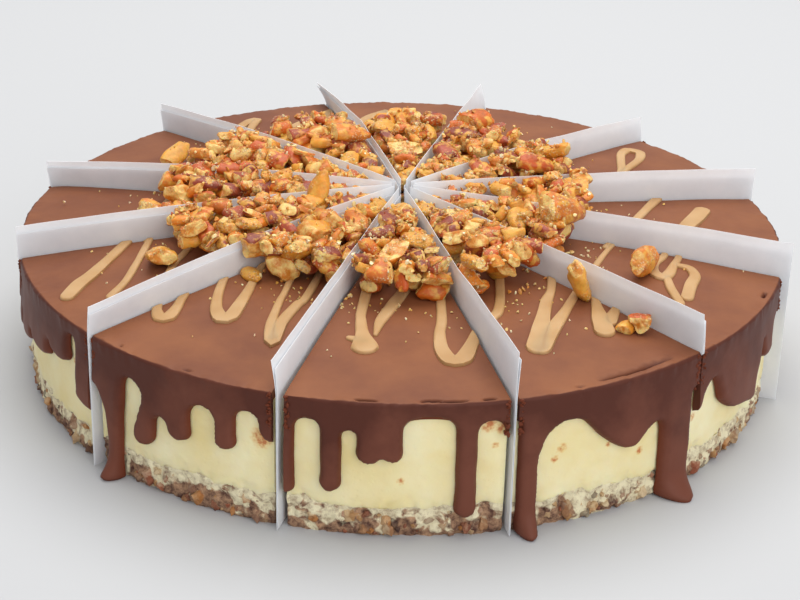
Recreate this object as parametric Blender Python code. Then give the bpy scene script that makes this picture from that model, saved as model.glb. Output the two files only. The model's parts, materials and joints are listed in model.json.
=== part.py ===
"""A round baked cheesecake on a crumb and pecan crust, covered with chocolate ganache that
runs down its side, drizzled with caramel and heaped with candied pecans.
It is cut into twelve slices, with a strip of folded paper standing in every cut.
Metres, +Z up; the origin is the centre of the base, and angles run anticlockwise from +X."""

import math
import random

import bmesh
import bpy
from mathutils import Matrix, Vector, noise

# The cake: a 9 inch round, a little domed.
RIM_RADIUS = 0.1143
RIM_HEIGHT = 0.0402
DOME_RISE = 0.0046
POINT_RADIUS = 0.0045        # where each slice's point ends, short of the centre
INNER_ROW = 0.045            # the circles through which the domed layers are drawn
MIDDLE_ROW = 0.085
OUTER_ROW = 0.100
GAP = 0.0003                 # air between any two pieces

# The cuts, one every 30 degrees as far as a knife keeps to it.
CUT_ANGLES = (-105.4, -74.9, -45.2, -15.4, 15.2, 45.1, 75.6, 104.0, 135.6, 166.2, 195.0, 223.8)

# The crust, under the filling.
CRUST_HEIGHT = 0.0088
CRUST_WAVE = 0.0022
CRUST_RADIUS = 0.1116
CRUST_ROUGHNESS = 0.0012
CRUST_MIDDLE = 0.0032        # a row of points half way up its side
CRUST_COLUMNS = 11
CRUST_LUMPS = 1
LUMP_FOOT = 0.0004           # a lump stays this far above what the cake stands on
LUMP_COVER = 0.0010          # and this far below the filling

# The filling.
FILLING_RADIUS = 0.1124

# The ganache: a top layer, and a band on the side that ends in runs.
GANACHE_TOP = 0.0032
GANACHE_SIDE = 0.0016
SHOULDER_DROP = 0.0016
SHOULDER_INSET = 0.0013
RUN_THICKNESS = 0.0021
RUN_EDGE_THICKNESS = 0.0013
ARCH_THICKNESS = 0.0011
LIP = 0.0009                 # how far up a run is at its full thickness
SIDE_STEP = 0.14             # degrees between the top and the foot of a run's side
RUNS_PER_PLAIN_SLICE = (3, 4, 4, 5)

# The runs of each slice that differs from the rule, from left to right: where each one
# starts and ends, the height of its tip, how far its foot spreads on the surface below,
# and the height of the arch that follows it.
RUNS = {
    1: ((-105.4, -103.4, 0.0112, 0, 0.0337), (-100.1, -97.0, 0.0132, 0, 0.0313),
        (-95.2, -91.8, 0.0220, 0, 0.0236), (-91.7, -89.2, 0.0226, 0, 0.0358),
        (-82.3, -79.4, 0.0062, 0, 0.0340), (-75.8, -74.9, 0.0290, 0, 0)),
    2: ((-74.0, -70.8, 0, 0.0055, 0.0310), (-60.0, -54.6, 0.0182, 0, 0.0243),
        (-51.6, -46.2, 0, 0.0080, 0.0300)),
    3: ((-45.2, -43.2, 0.0220, 0, 0.0290), (-39.4, -29.0, 0.0130, 0, 0.0280),
        (-24.5, -20.6, 0.0210, 0, 0.0300)),
    11: ((195.0, 197.4, 0.0185, 0, 0.0255), (197.7, 203.3, 0.0195, 0, 0.0245),
         (203.8, 210.8, 0.0216, 0, 0.0277), (211.4, 217.3, 0.0253, 0, 0.0356),
         (219.4, 223.8, 0.0164, 0, 0)),
    12: ((223.8, 225.8, 0.0225, 0, 0.0225), (226.0, 229.3, 0, 0.0048, 0.0314),
         (232.6, 235.8, 0.0137, 0, 0.0243), (238.0, 241.5, 0.0192, 0, 0.0313),
         (245.4, 248.4, 0.0203, 0, 0.0328), (251.8, 254.6, 0.0252, 0, 0)),
}

# The caramel: one thread laid to and fro across the whole cake, as its turns show.
DRIZZLE_TURNS = (
    (-0.092, -0.057), (-0.052, 0.088), (-0.063, -0.073), (-0.024, 0.100), (-0.046, -0.074),
    (-0.0065, 0.100), (-0.033, -0.086), (0.010, 0.090), (-0.009, -0.088), (0.031, 0.083),
    (0.014, -0.095), (0.052, 0.073), (0.036, -0.088), (0.078, 0.068), (0.055, -0.074),
    (0.081, 0.024), (0.070, -0.050), (0.093, 0.015),
)
DRIZZLE_WIDTH = 0.0050
DRIZZLE_HEIGHT = 0.0010
DRIZZLE_STEP = 0.011
TURN_WIDTH = 0.0075          # between the two legs of a turn

# The heap of candied pecans round the centre, and the pieces that lie apart from it.
HEAP_RADIUS = 0.065
HEAP_SHIFT = 0.006           # the heap's centre lies this far towards -X
HEAP_OVERHANG = 0.005        # the outer pieces reach this far past the heap's outline
HEAP_START = 0.0060          # from the axis
HEAP_SLOPE = 0.013           # over which the heap falls to its edge
HEAP_CORE_HEIGHT = 0.0062
HEAP_EDGE_HEIGHT = 0.0030
HEAP_TOP = 0.0135            # above the ganache
NUT_RANGE = (0.0105, 0.0175)
NUTS_PER_SLICE = 9
LEAN_ROOM = 0.0008           # kept from the leaning papers by the pieces that lie apart
LONE_NUTS = (
    (0.0695, -0.0365, 0.0125), (0.0510, -0.0545, 0.0110), (-0.0755, 0.0425, 0.0090),
    (0.0610, -0.0720, 0.0070), (0.0675, -0.0715, 0.0065),
)

# The papers: one folded strip in each cut, its fold at the bottom.
SHEET = 0.00038
SLOT = 0.00034               # between the two leaves
PAPER_INNER = 0.0034
PAPER_BEND_RADIUS = 0.070    # from here outwards a strip's top leans to one side
PAPER_RISE = 0.0095          # above the ganache, up to there
SECOND_LEAF_DROP = 0.0022
# Each strip's outer end: how far out it is, how far it rises above the ganache, and how far
# its top leans, anticlockwise positive.
PAPER_ENDS = (
    (0.1150, 0.0096, -0.0012), (0.1150, 0.0138, 0.0003), (0.1150, 0.0120, -0.0013),
    (0.1168, 0.0105, 0.0010), (0.1150, 0.0104, -0.0006), (0.1150, 0.0080, 0.0012),
    (0.1150, 0.0085, 0.0020), (0.1150, 0.0080, 0.0038), (0.1150, 0.0095, 0.0010),
    (0.1150, 0.0086, 0.0020), (0.1150, 0.0100, 0.0010), (0.1150, 0.0087, 0.0010),
)
END_QUADS = (            # a strip's end, by the corners of its section
    (0, 1, 4, 5), (1, 2, 3, 4), (0, 5, 6, 11), (11, 6, 7, 10), (10, 7, 8, 9),
)

FLAT_ANGLE = math.radians(0.2)         # faces that meet at less are one face
HALF_CUT = SHEET + SLOT / 2 + GAP      # from a cut's middle plane to the cake
RUN_INNER = FILLING_RADIUS + GAP

for old in list(bpy.data.objects):
    bpy.data.objects.remove(old, do_unlink=True)


def material(name, colour, roughness):
    """A Principled material of one colour, given as red, green and blue, each linear."""
    made = bpy.data.materials.new(name)
    made.use_nodes = True
    shader = made.node_tree.nodes["Principled BSDF"]
    shader.inputs["Base Color"].default_value = (*colour, 1.0)
    shader.inputs["Roughness"].default_value = roughness
    shader.inputs["Metallic"].default_value = 0.0
    return made


CRUST_MATERIAL = material("crumb_crust", (0.36, 0.25, 0.15), 0.85)
FILLING_MATERIAL = material("baked_filling", (0.80, 0.72, 0.42), 0.65)
GANACHE_MATERIAL = material("chocolate_ganache", (0.17, 0.075, 0.05), 0.45)
PECAN_MATERIAL = material("candied_pecan", (0.50, 0.21, 0.06), 0.40)
PAPER_MATERIAL = material("baking_paper", (0.75, 0.74, 0.73), 0.60)


def polar(radius, angle, height):
    """A point from its distance from the axis, its angle in degrees and its height."""
    turn = math.radians(angle)
    return Vector((radius * math.cos(turn), radius * math.sin(turn), height))


def surface_height(radius):
    """The height of the cake's domed top."""
    return RIM_HEIGHT + DOME_RISE * (1.0 - (radius / RIM_RADIUS) ** 2)


def cut_angle(number):
    """The angle of a cut, numbered from 1, going on past 12 round the cake."""
    turns, place = divmod(number - 1, len(CUT_ANGLES))
    return CUT_ANGLES[place] + 360.0 * turns


def slice_angle(number, radius, share):
    """The angle at a share of the way, 0 to 1, across a slice at some radius.

    The slice's two faces are parallel to the cuts, not to lines through the centre."""
    inset = math.degrees(math.asin(HALF_CUT / radius))
    start = cut_angle(number) + inset
    end = cut_angle(number + 1) - inset
    return start + (end - start) * share


def even_shares(count):
    return [index / (count - 1) for index in range(count)]


def slice_row(number, radius, height, shares):
    """A row of points across a slice; radius and height may be functions of the angle."""
    row = []
    for share in shares:
        angle = slice_angle(number, RIM_RADIUS, share)
        here = radius(angle) if callable(radius) else radius
        lift = height(angle) if callable(height) else height
        row.append((share, polar(here, slice_angle(number, here, share), lift)))
    return row


def zip_rows(bm, row_a, row_b):
    """Triangles between two rows, each a list of a share and a vertex.

    Two layers that meet get the same triangles, whichever way round their rows come."""
    i = j = 0
    while i < len(row_a) - 1 or j < len(row_b) - 1:
        next_a = row_a[i + 1][0] if i < len(row_a) - 1 else math.inf
        next_b = row_b[j + 1][0] if j < len(row_b) - 1 else math.inf
        if next_a < next_b or (next_a == next_b and len(row_a) >= len(row_b)):
            bm.faces.new((row_a[i][1], row_a[i + 1][1], row_b[j][1]))
            i += 1
        else:
            bm.faces.new((row_a[i][1], row_b[j + 1][1], row_b[j][1]))
            j += 1


def add_object(name, bm, surface):
    """Turns a bmesh into an object with outward faces and its material."""
    bmesh.ops.recalc_face_normals(bm, faces=bm.faces)
    mesh = bpy.data.meshes.new(name)
    bm.to_mesh(mesh)
    bm.free()
    mesh.materials.append(surface)
    made = bpy.data.objects.new(name, mesh)
    bpy.context.scene.collection.objects.link(made)
    return made


def solid_from_rows(name, rows, surface):
    """A closed solid whose skin passes through the rows in turn and back to the first."""
    bm = bmesh.new()
    placed = [[(share, bm.verts.new(point)) for share, point in row] for row in rows]
    for index, row in enumerate(placed):
        zip_rows(bm, row, placed[(index + 1) % len(placed)])
    ends = [bm.faces.new([row[side][1] for row in placed]) for side in (0, -1)]
    bmesh.ops.triangulate(bm, faces=ends)
    return add_object(name, bm, surface)


def join_pieces(base, pieces):
    """Fuses pieces onto a base with one union, and removes the pieces."""
    if not pieces:
        return
    group = bpy.data.collections.new(base.name + "_pieces")
    bpy.context.scene.collection.children.link(group)
    for piece in pieces:
        bpy.context.scene.collection.objects.unlink(piece)
        group.objects.link(piece)
    union = base.modifiers.new("union", "BOOLEAN")
    union.operation = "UNION"
    union.operand_type = "COLLECTION"
    union.collection = group
    union.solver = "MANIFOLD"
    bpy.context.view_layer.update()
    joined = bpy.data.meshes.new_from_object(base.evaluated_get(bpy.context.evaluated_depsgraph_get()))
    base.modifiers.clear()
    base.data = joined
    keep_outer_skin(joined)
    for piece in pieces:
        bpy.data.objects.remove(piece, do_unlink=True)
    bpy.data.collections.remove(group)


def keep_outer_skin(mesh):
    """Fills the hollows that fusing seals, and drops loose scraps: only the largest skin stays."""
    bm = bmesh.new()
    bm.from_mesh(mesh)
    bmesh.ops.dissolve_limit(bm, angle_limit=FLAT_ANGLE, verts=bm.verts, edges=bm.edges)
    bmesh.ops.triangulate(bm, faces=bm.faces)
    unseen = set(bm.verts)
    skins = []
    while unseen:
        skin = {unseen.pop()}
        edge_of_skin = list(skin)
        while edge_of_skin:
            vert = edge_of_skin.pop()
            for edge in vert.link_edges:
                other = edge.other_vert(vert)
                if other in unseen:
                    unseen.discard(other)
                    skin.add(other)
                    edge_of_skin.append(other)
        skins.append(skin)
    largest = max(skins, key=len)
    for skin in skins:
        if skin is not largest:
            bmesh.ops.delete(bm, geom=list(skin), context="VERTS")
    bm.to_mesh(mesh)
    bm.free()


def crust_top(angle):
    """The uneven line where the crust ends and the filling starts."""
    place = polar(7.0, angle, 0.0)
    return CRUST_HEIGHT + CRUST_WAVE * noise.noise(place) + 0.5 * CRUST_WAVE * noise.noise(place * 3.1)


def crust_side(level):
    """The crust's uneven radius at some level, as a function of the angle."""
    def radius(angle):
        return CRUST_RADIUS + CRUST_ROUGHNESS * noise.noise(polar(25.0, angle, 3.0 * level))
    return radius


def pecan_piece(name, rng, centre, size):
    """A broken piece of nut: a chip with uneven corners, longer than it is wide."""
    bm = bmesh.new()
    bmesh.ops.create_icosphere(bm, subdivisions=1, radius=0.52)
    shape = Matrix.Diagonal((size, size * rng.uniform(0.50, 0.72), size * rng.uniform(0.50, 0.65), 1.0))
    turn = Matrix.Rotation(rng.uniform(0, math.tau), 4, "Z") @ Matrix.Rotation(rng.uniform(-0.7, 0.7), 4, "Y")
    for vert in bm.verts:
        vert.co *= rng.uniform(0.80, 1.12)
    bmesh.ops.transform(bm, matrix=Matrix.Translation(centre) @ turn @ shape, verts=bm.verts)
    return add_object(name, bm, PECAN_MATERIAL)


def keep_in_slice(piece, number, clear):
    """Moves a piece away from the two cuts beside it; False where it doesn't fit."""
    for attempt in range(4):
        moved = False
        for cut, side in ((cut_angle(number), 1.0), (cut_angle(number + 1), -1.0)):
            turn = math.radians(cut)
            inward = Vector((-math.sin(turn), math.cos(turn), 0.0)) * side
            nearest = min(vert.co.dot(inward) for vert in piece.data.vertices)
            if nearest < clear - 1e-6:
                piece.data.transform(Matrix.Translation(inward * (clear - nearest)))
                moved = True
        if not moved:
            return True
    return False


def make_crust(number):
    """A slice's crust, with coarse pieces of nut that break out of its side."""
    rng = random.Random(100 + number)
    fine = even_shares(CRUST_COLUMNS)
    rows = [
        slice_row(number, POINT_RADIUS, 0.0, (0.0, 1.0)),
        slice_row(number, crust_side(0), 0.0, fine),
        slice_row(number, crust_side(1), CRUST_MIDDLE, fine),
        slice_row(number, crust_side(2), crust_top, fine),
        slice_row(number, OUTER_ROW, CRUST_HEIGHT, even_shares(5)),
        slice_row(number, POINT_RADIUS, CRUST_HEIGHT, (0.0, 1.0)),
    ]
    base = solid_from_rows(f"crust_{number:02d}", rows, CRUST_MATERIAL)
    lumps = []
    taken = [(start - 2.2, end + 2.2) for start, end, tip, foot, arch in slice_runs(number) if tip < 0.014]
    while len(lumps) < CRUST_LUMPS:
        angle = slice_angle(number, RIM_RADIUS, rng.uniform(0.12, 0.88))
        if any(start < angle < end for start, end in taken):
            taken = [(start + 0.1, end - 0.1) for start, end in taken]
            continue
        size = rng.uniform(0.005, 0.007)
        lump = pecan_piece("lump", rng, polar(CRUST_RADIUS - 0.0008, angle, 0.0040), size)
        for vert in lump.data.vertices:
            ceiling = crust_top(math.degrees(math.atan2(vert.co.y, vert.co.x))) - LUMP_COVER
            vert.co.z = min(max(vert.co.z, LUMP_FOOT), ceiling)
        lumps.append(lump)
        taken.append((angle - 4.0, angle + 4.0))
    join_pieces(base, lumps)


def make_filling(number):
    """A slice's filling, from the crust to the underside of the ganache."""
    def bottom(angle):
        return crust_top(angle) + GAP

    def top(radius):
        return surface_height(radius) - GANACHE_TOP

    fine = even_shares(CRUST_COLUMNS)
    rows = [
        slice_row(number, POINT_RADIUS, CRUST_HEIGHT + GAP, (0.0, 1.0)),
        slice_row(number, OUTER_ROW, CRUST_HEIGHT + GAP, even_shares(5)),
        slice_row(number, FILLING_RADIUS, bottom, fine),
        slice_row(number, FILLING_RADIUS, top(FILLING_RADIUS), fine),
        slice_row(number, MIDDLE_ROW, top(MIDDLE_ROW), even_shares(4)),
        slice_row(number, POINT_RADIUS, top(POINT_RADIUS), (0.0, 1.0)),
    ]
    solid_from_rows(f"filling_{number:02d}", rows, FILLING_MATERIAL)


def slice_runs(number):
    """The runs of ganache down a slice's side: as listed, or of uneven sizes by a rule."""
    if number in RUNS:
        turns = 360.0 * round((cut_angle(number) - RUNS[number][0][0]) / 360.0)
        return [(start + turns, end + turns, *rest) for start, end, *rest in RUNS[number]]
    rng = random.Random(40 + number)
    count = rng.choice(RUNS_PER_PLAIN_SLICE)
    first, last = slice_angle(number, RIM_RADIUS, 0.0), slice_angle(number, RIM_RADIUS, 1.0)
    pitch = (last - first) / count
    runs = []
    for index in range(count):
        width = rng.uniform(2.8, 4.4)
        start = first + pitch * index + rng.uniform(0.6, pitch - width - 0.6)
        tip = rng.choice((0.0065, 0.0120, 0.0165, 0.0205, 0.0240))
        runs.append((start, start + width, tip, 0, rng.uniform(0.0290, 0.0350)))
    return runs


def run_outline(number):
    """The ganache's lower edge: a share across the slice, a height, a thickness and a
    spread for each point, from the slice's first cut to its second."""
    first, last = slice_angle(number, RIM_RADIUS, 0.0), slice_angle(number, RIM_RADIUS, 1.0)
    metres_per_degree = math.radians(RIM_RADIUS)
    points = []
    runs = slice_runs(number)
    if runs[0][0] > first + 1.0:
        points.append((first, 0.0335, ARCH_THICKNESS, 0.0))
    for index, (start, end, tip, foot, arch) in enumerate(runs):
        start, end = max(start, first), min(end, last)
        width = (end - start) * metres_per_degree
        round_up = min(width / 2.0, 0.0035) * (0.35 if foot else 1.0)
        inset = 0.25 * (end - start)
        points.append((start, tip + round_up, RUN_EDGE_THICKNESS, 0.3 * foot))
        points.append((start + inset, tip, RUN_THICKNESS, foot))
        points.append((end - inset, tip, RUN_THICKNESS, foot))
        points.append((end, tip + round_up, RUN_EDGE_THICKNESS, 0.3 * foot))
        following = runs[index + 1][0] if index + 1 < len(runs) else last + SIDE_STEP
        space = following - end
        if space > 4 * SIDE_STEP:
            bend = min(space * metres_per_degree / 2.0, 0.0030)
            points.append((end + SIDE_STEP, arch - bend, ARCH_THICKNESS, 0.0))
            if space > 1.0:
                points.append((end + 0.5 * space, arch, ARCH_THICKNESS, 0.0))
            points.append((following - SIDE_STEP, arch - bend, ARCH_THICKNESS, 0.0))
    if points[-1][0] < last - 0.3:
        points.append((last, points[-1][1], ARCH_THICKNESS, 0.0))
    span = last - first
    outline = [((angle - first) / span, height, thick, foot) for angle, height, thick, foot in points]
    outline[0] = (0.0, *outline[0][1:])
    outline[-1] = (1.0, *outline[-1][1:])
    return outline


def make_ganache(number):
    """A slice's ganache: the top, the shoulder, the band with its runs, and what lies on it."""
    outline = run_outline(number)
    shares = [share for share, height, thick, foot in outline]

    def edge_row(thickness_share, rise, spread):
        row = []
        for share, height, thick, foot in outline:
            radius = RUN_INNER + thickness_share * thick + spread * foot
            lift = max(height + rise, rise if foot else 0.0)
            row.append((share, polar(radius, slice_angle(number, radius, share), lift)))
        return row

    def top_row(radius, count):
        return slice_row(number, radius, surface_height(radius), even_shares(count))

    def under_row(radius, count):
        return slice_row(number, radius, surface_height(radius) - GANACHE_TOP + GAP, even_shares(count))

    rim = RIM_RADIUS - SHOULDER_INSET
    shoulder = RUN_INNER + GANACHE_SIDE
    inner_top = surface_height(RUN_INNER) - GANACHE_TOP + GAP
    rows = [
        top_row(POINT_RADIUS, 2), top_row(INNER_ROW, 3), top_row(MIDDLE_ROW, 5), top_row(rim, 9),
        slice_row(number, shoulder, RIM_HEIGHT - SHOULDER_DROP, shares),
        edge_row(1.0, LIP, 0.25),
        edge_row(0.45, 0.0, 1.0),
        edge_row(0.0, 0.0002, 0.0),
        slice_row(number, RUN_INNER, inner_top, shares),
        under_row(MIDDLE_ROW, 4), under_row(POINT_RADIUS, 2),
    ]
    base = solid_from_rows(f"ganache_{number:02d}", rows, GANACHE_MATERIAL)
    join_pieces(base, drizzle_pieces(number) + lone_nuts(number))


def heap_outline(angle):
    """How far out the heap lies at some angle: a little further on one side."""
    shift = HEAP_SHIFT * math.cos(math.radians(angle))
    return HEAP_RADIUS * (1.0 + 0.05 * noise.noise(polar(2.2, angle, 5.0))) - shift


def heap_reach(point):
    """How far out the heap's pieces may go in the direction of a point."""
    return heap_outline(math.degrees(math.atan2(point.y, point.x))) + HEAP_OVERHANG


def smooth_route(points, step):
    """Points at an even step along a line with rounded turns through the given points."""
    route = []
    for index in range(len(points) - 1):
        start, end = Vector(points[index]), Vector(points[index + 1])
        along = (end - start).normalized()
        half_turn = TURN_WIDTH / 2.0
        across = Vector((half_turn, 0.0))
        forward = 1.0 if index < len(points) - 2 else 0.0
        begin = start + (across if index else Vector((0.0, 0.0))) + along * half_turn * (index > 0)
        finish = end - across * forward - along * half_turn * forward
        count = max(2, round((finish - begin).length / step))
        for place in range(count + 1):
            route.append(begin.lerp(finish, place / count))
        if forward:
            route.append(end.copy())
    return route


def in_slice(number, point, clear):
    """True where a point on the top lies inside a slice, clear of its cuts and its rim."""
    radius = point.length
    if radius < heap_reach(point) + clear or radius > RIM_RADIUS - SHOULDER_INSET - clear:
        return False
    for cut, side in ((cut_angle(number), 1.0), (cut_angle(number + 1), -1.0)):
        turn = math.radians(cut)
        if side * (point.y * math.cos(turn) - point.x * math.sin(turn)) < clear:
            return False
    return True


def ribbon(points):
    """A low ridge of caramel along points on the top, sunk a little into the ganache."""
    bm = bmesh.new()
    sections = []
    for index, point in enumerate(points):
        ahead = points[min(index + 1, len(points) - 1)] - points[max(index - 1, 0)]
        side = Vector((-ahead.y, ahead.x)).normalized()
        level = surface_height(point.length)
        taper = 0.6 if index in (0, len(points) - 1) else 1.0
        section = []
        for across, lift in ((-0.5, -0.0009), (-0.30, DRIZZLE_HEIGHT), (0.30, DRIZZLE_HEIGHT), (0.5, -0.0009)):
            flat = point + side * across * DRIZZLE_WIDTH * taper
            section.append(bm.verts.new((flat.x, flat.y, level + lift * taper)))
        sections.append(section)
    for first, second in zip(sections, sections[1:]):
        for corner in range(4):
            after = (corner + 1) % 4
            bm.faces.new((first[corner], first[after], second[after], second[corner]))
    bm.faces.new(sections[0])
    bm.faces.new(list(reversed(sections[-1])))
    bmesh.ops.triangulate(bm, faces=bm.faces)
    return add_object("drizzle", bm, GANACHE_MATERIAL)


def drizzle_pieces(number):
    """The stretches of the caramel thread that show on one slice."""
    clear = HALF_CUT + 0.55 * DRIZZLE_WIDTH
    pieces, stretch = [], []
    for point in smooth_route(DRIZZLE_TURNS, DRIZZLE_STEP) + [Vector((0.0, 0.0))]:
        if in_slice(number, point, clear) and not near_lone_nut(point):
            stretch.append(point)
            continue
        if len(stretch) > 1:
            pieces.append(ribbon(stretch))
        stretch = []
    return pieces


def near_lone_nut(point):
    return any((point - Vector((x, y))).length < 0.5 * size + 0.5 * DRIZZLE_WIDTH for x, y, size in LONE_NUTS)


def lone_nuts(number):
    """The nut pieces that lie on a slice apart from the heap."""
    rng = random.Random(700 + number)
    found = []
    for x, y, size in LONE_NUTS:
        place = Vector((x, y))
        if not in_slice(number, place, 0.0):
            continue
        centre = Vector((x, y, surface_height(place.length) + 0.22 * size))
        nut = pecan_piece("lone_nut", rng, centre, size)
        keep_in_slice(nut, number, HALF_CUT + LEAN_ROOM)
        found.append(nut)
    return found


def make_pecans(number):
    """A slice's share of the heap: a low core with pieces of nut all over it."""
    rng = random.Random(300 + number)
    core_height = HEAP_CORE_HEIGHT

    def level(radius, lift):
        return surface_height(radius) + GAP + lift

    def edge(angle):
        return heap_outline(angle) - 0.004

    rows = [
        slice_row(number, HEAP_START, level(HEAP_START, 0.0), (0.0, 1.0)),
        slice_row(number, INNER_ROW, level(INNER_ROW, 0.0), even_shares(3)),
        slice_row(number, edge, lambda angle: level(edge(angle), 0.0), even_shares(5)),
        slice_row(number, edge, lambda angle: level(edge(angle), HEAP_EDGE_HEIGHT), even_shares(5)),
        slice_row(number, INNER_ROW, level(INNER_ROW, core_height), even_shares(4)),
        slice_row(number, HEAP_START, level(HEAP_START, core_height), (0.0, 1.0)),
    ]
    base = solid_from_rows(f"pecans_{number:02d}", rows, PECAN_MATERIAL)
    pieces = []
    for index in range(NUTS_PER_SLICE):
        share = (index + 0.5) / NUTS_PER_SLICE
        angle = slice_angle(number, 0.050, (0.5 + index * 0.618034) % 1.0)
        radius = HEAP_START + 0.006 + (heap_outline(angle) - HEAP_START - 0.008) * math.sqrt(share)
        size = rng.uniform(*NUT_RANGE) * min(1.0, 0.45 + radius / HEAP_RADIUS)
        sink = core_height * min(1.0, max(0.3, (heap_outline(angle) - radius) / HEAP_SLOPE))
        centre = polar(radius, angle, level(radius, sink + 0.10 * size))
        piece = pecan_piece("nut", rng, centre, size)
        if not keep_in_slice(piece, number, HALF_CUT) or not settle(piece):
            bpy.data.objects.remove(piece, do_unlink=True)
            continue
        pieces.append(piece)
    join_pieces(base, pieces)


def settle(piece):
    """Keeps a piece of the heap above the ganache, under the papers' tops and inside the
    heap's reach; False where it would have to move too far."""
    lift = max(surface_height(vert.co.xy.length) + GAP - vert.co.z for vert in piece.data.vertices)
    if lift > 0.0:
        piece.data.transform(Matrix.Translation((0.0, 0.0, lift)))
    places = [vert.co for vert in piece.data.vertices]
    highest = max(place.z - surface_height(place.xy.length) for place in places)
    return highest < HEAP_TOP and all(place.xy.length < heap_reach(place) for place in places)


def make_paper(number):
    """A strip of baking paper folded along its bottom edge, so that two leaves stand up."""
    cut = cut_angle(number)
    turn = math.radians(cut)
    along = Vector((math.cos(turn), math.sin(turn), 0.0))
    across = Vector((-math.sin(turn), math.cos(turn), 0.0))
    outer_side = SHEET + SLOT / 2.0
    inner_side = SLOT / 2.0
    bm = bmesh.new()
    sections = []
    reach, end_rise, end_lean = PAPER_ENDS[number - 1]
    for radius, rise, lean in (
        (PAPER_INNER, PAPER_RISE, 0.0), (PAPER_BEND_RADIUS, PAPER_RISE, 0.0), (reach, end_rise, end_lean),
    ):
        top = surface_height(min(radius, RIM_RADIUS)) + rise
        foot, fold, bend = GAP, GAP + 0.0006, surface_height(radius) + 0.0005
        second_top = top - SECOND_LEAF_DROP
        second_lean = lean * (second_top - bend) / (top - bend)
        section = (
            (-outer_side, foot), (-outer_side, bend), (-outer_side + lean, top),
            (-inner_side + lean, top), (-inner_side, bend), (-inner_side, fold),
            (inner_side, fold), (inner_side, bend), (inner_side + second_lean, second_top),
            (outer_side + second_lean, second_top), (outer_side, bend), (outer_side, foot),
        )
        sections.append([bm.verts.new(along * radius + across * s + Vector((0, 0, z))) for s, z in section])
    # Both sides of a leaf are split from low at the point to high at the rim, so that the
    # leaf keeps its thickness where it is twisted.
    for first, second in zip(sections, sections[1:]):
        for corner in range(len(first)):
            after = (corner + 1) % len(first)
            low, high = (corner, after) if section[corner][1] <= section[after][1] else (after, corner)
            bm.faces.new((first[low], first[high], second[high]))
            bm.faces.new((first[low], second[high], second[low]))
    for corners in END_QUADS:
        for end in (sections[0], sections[-1]):
            bm.faces.new([end[corner] for corner in corners])
    add_object(f"paper_{number:02d}", bm, PAPER_MATERIAL)


for slice_number in range(1, len(CUT_ANGLES) + 1):
    make_crust(slice_number)
    make_filling(slice_number)
    make_ganache(slice_number)
    make_pecans(slice_number)
    make_paper(slice_number)
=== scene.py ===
import json
import math
import random

import bmesh
import bpy
import numpy as np
from mathutils import Euler, Matrix, Vector, noise
from mathutils.geometry import delaunay_2d_cdt

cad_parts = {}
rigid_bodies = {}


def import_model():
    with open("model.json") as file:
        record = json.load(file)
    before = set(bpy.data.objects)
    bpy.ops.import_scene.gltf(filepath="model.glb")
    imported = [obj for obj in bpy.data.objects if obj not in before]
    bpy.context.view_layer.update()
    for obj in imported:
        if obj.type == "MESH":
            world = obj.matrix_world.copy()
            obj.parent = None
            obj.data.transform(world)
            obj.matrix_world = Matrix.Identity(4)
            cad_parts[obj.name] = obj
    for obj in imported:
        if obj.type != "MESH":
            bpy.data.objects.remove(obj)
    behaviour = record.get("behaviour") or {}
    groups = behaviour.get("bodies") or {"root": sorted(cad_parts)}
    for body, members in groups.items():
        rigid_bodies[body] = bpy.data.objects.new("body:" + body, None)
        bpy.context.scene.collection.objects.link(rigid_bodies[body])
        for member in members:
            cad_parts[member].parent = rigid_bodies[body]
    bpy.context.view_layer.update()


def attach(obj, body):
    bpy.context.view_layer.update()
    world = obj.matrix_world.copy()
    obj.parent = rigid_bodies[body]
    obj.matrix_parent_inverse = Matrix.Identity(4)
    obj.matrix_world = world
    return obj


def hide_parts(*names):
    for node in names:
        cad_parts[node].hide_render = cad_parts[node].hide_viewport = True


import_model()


# The viewpoint: a long lens a little over half a metre away, looking down at the cake.
VIEW_DISTANCE = 0.5387
VIEW_HEIGHT = 0.2677
VIEW_PITCH = math.radians(25.08)      # below the horizon
VIEW_ROLL = math.radians(1.37)
VIEW_LENS_MM = 86.5

camera_data = bpy.data.cameras.new("view")
camera_data.lens = VIEW_LENS_MM
camera_data.sensor_width = 36.0
camera = bpy.data.objects.new("view", camera_data)
bpy.context.scene.collection.objects.link(camera)
forward = Vector((0.0, math.cos(VIEW_PITCH), -math.sin(VIEW_PITCH)))
level_right = Vector((1.0, 0.0, 0.0))
level_up = level_right.cross(forward)
right = level_right * math.cos(VIEW_ROLL) + level_up * math.sin(VIEW_ROLL)
up = level_up * math.cos(VIEW_ROLL) - level_right * math.sin(VIEW_ROLL)
camera.matrix_world = Matrix((
    (right.x, up.x, -forward.x, 0.0),
    (right.y, up.y, -forward.y, -VIEW_DISTANCE),
    (right.z, up.z, -forward.z, VIEW_HEIGHT),
    (0.0, 0.0, 0.0, 1.0),
))
bpy.context.scene.camera = camera


# The studio: a pale matt floor that runs out of sight, a wide soft light above and behind
# the cake, a weaker one in front, and a bright even surround.
FLOOR_SIZE = 8.0
FLOOR_COLOUR = "#c3c4c6"


def linear(hex_colour):
    """An sRGB hex colour as linear red, green, blue and alpha."""
    channels = [int(hex_colour[place:place + 2], 16) / 255.0 for place in (1, 3, 5)]
    return tuple(c / 12.92 if c <= 0.04045 else ((c + 0.055) / 1.055) ** 2.4 for c in channels) + (1.0,)


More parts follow.
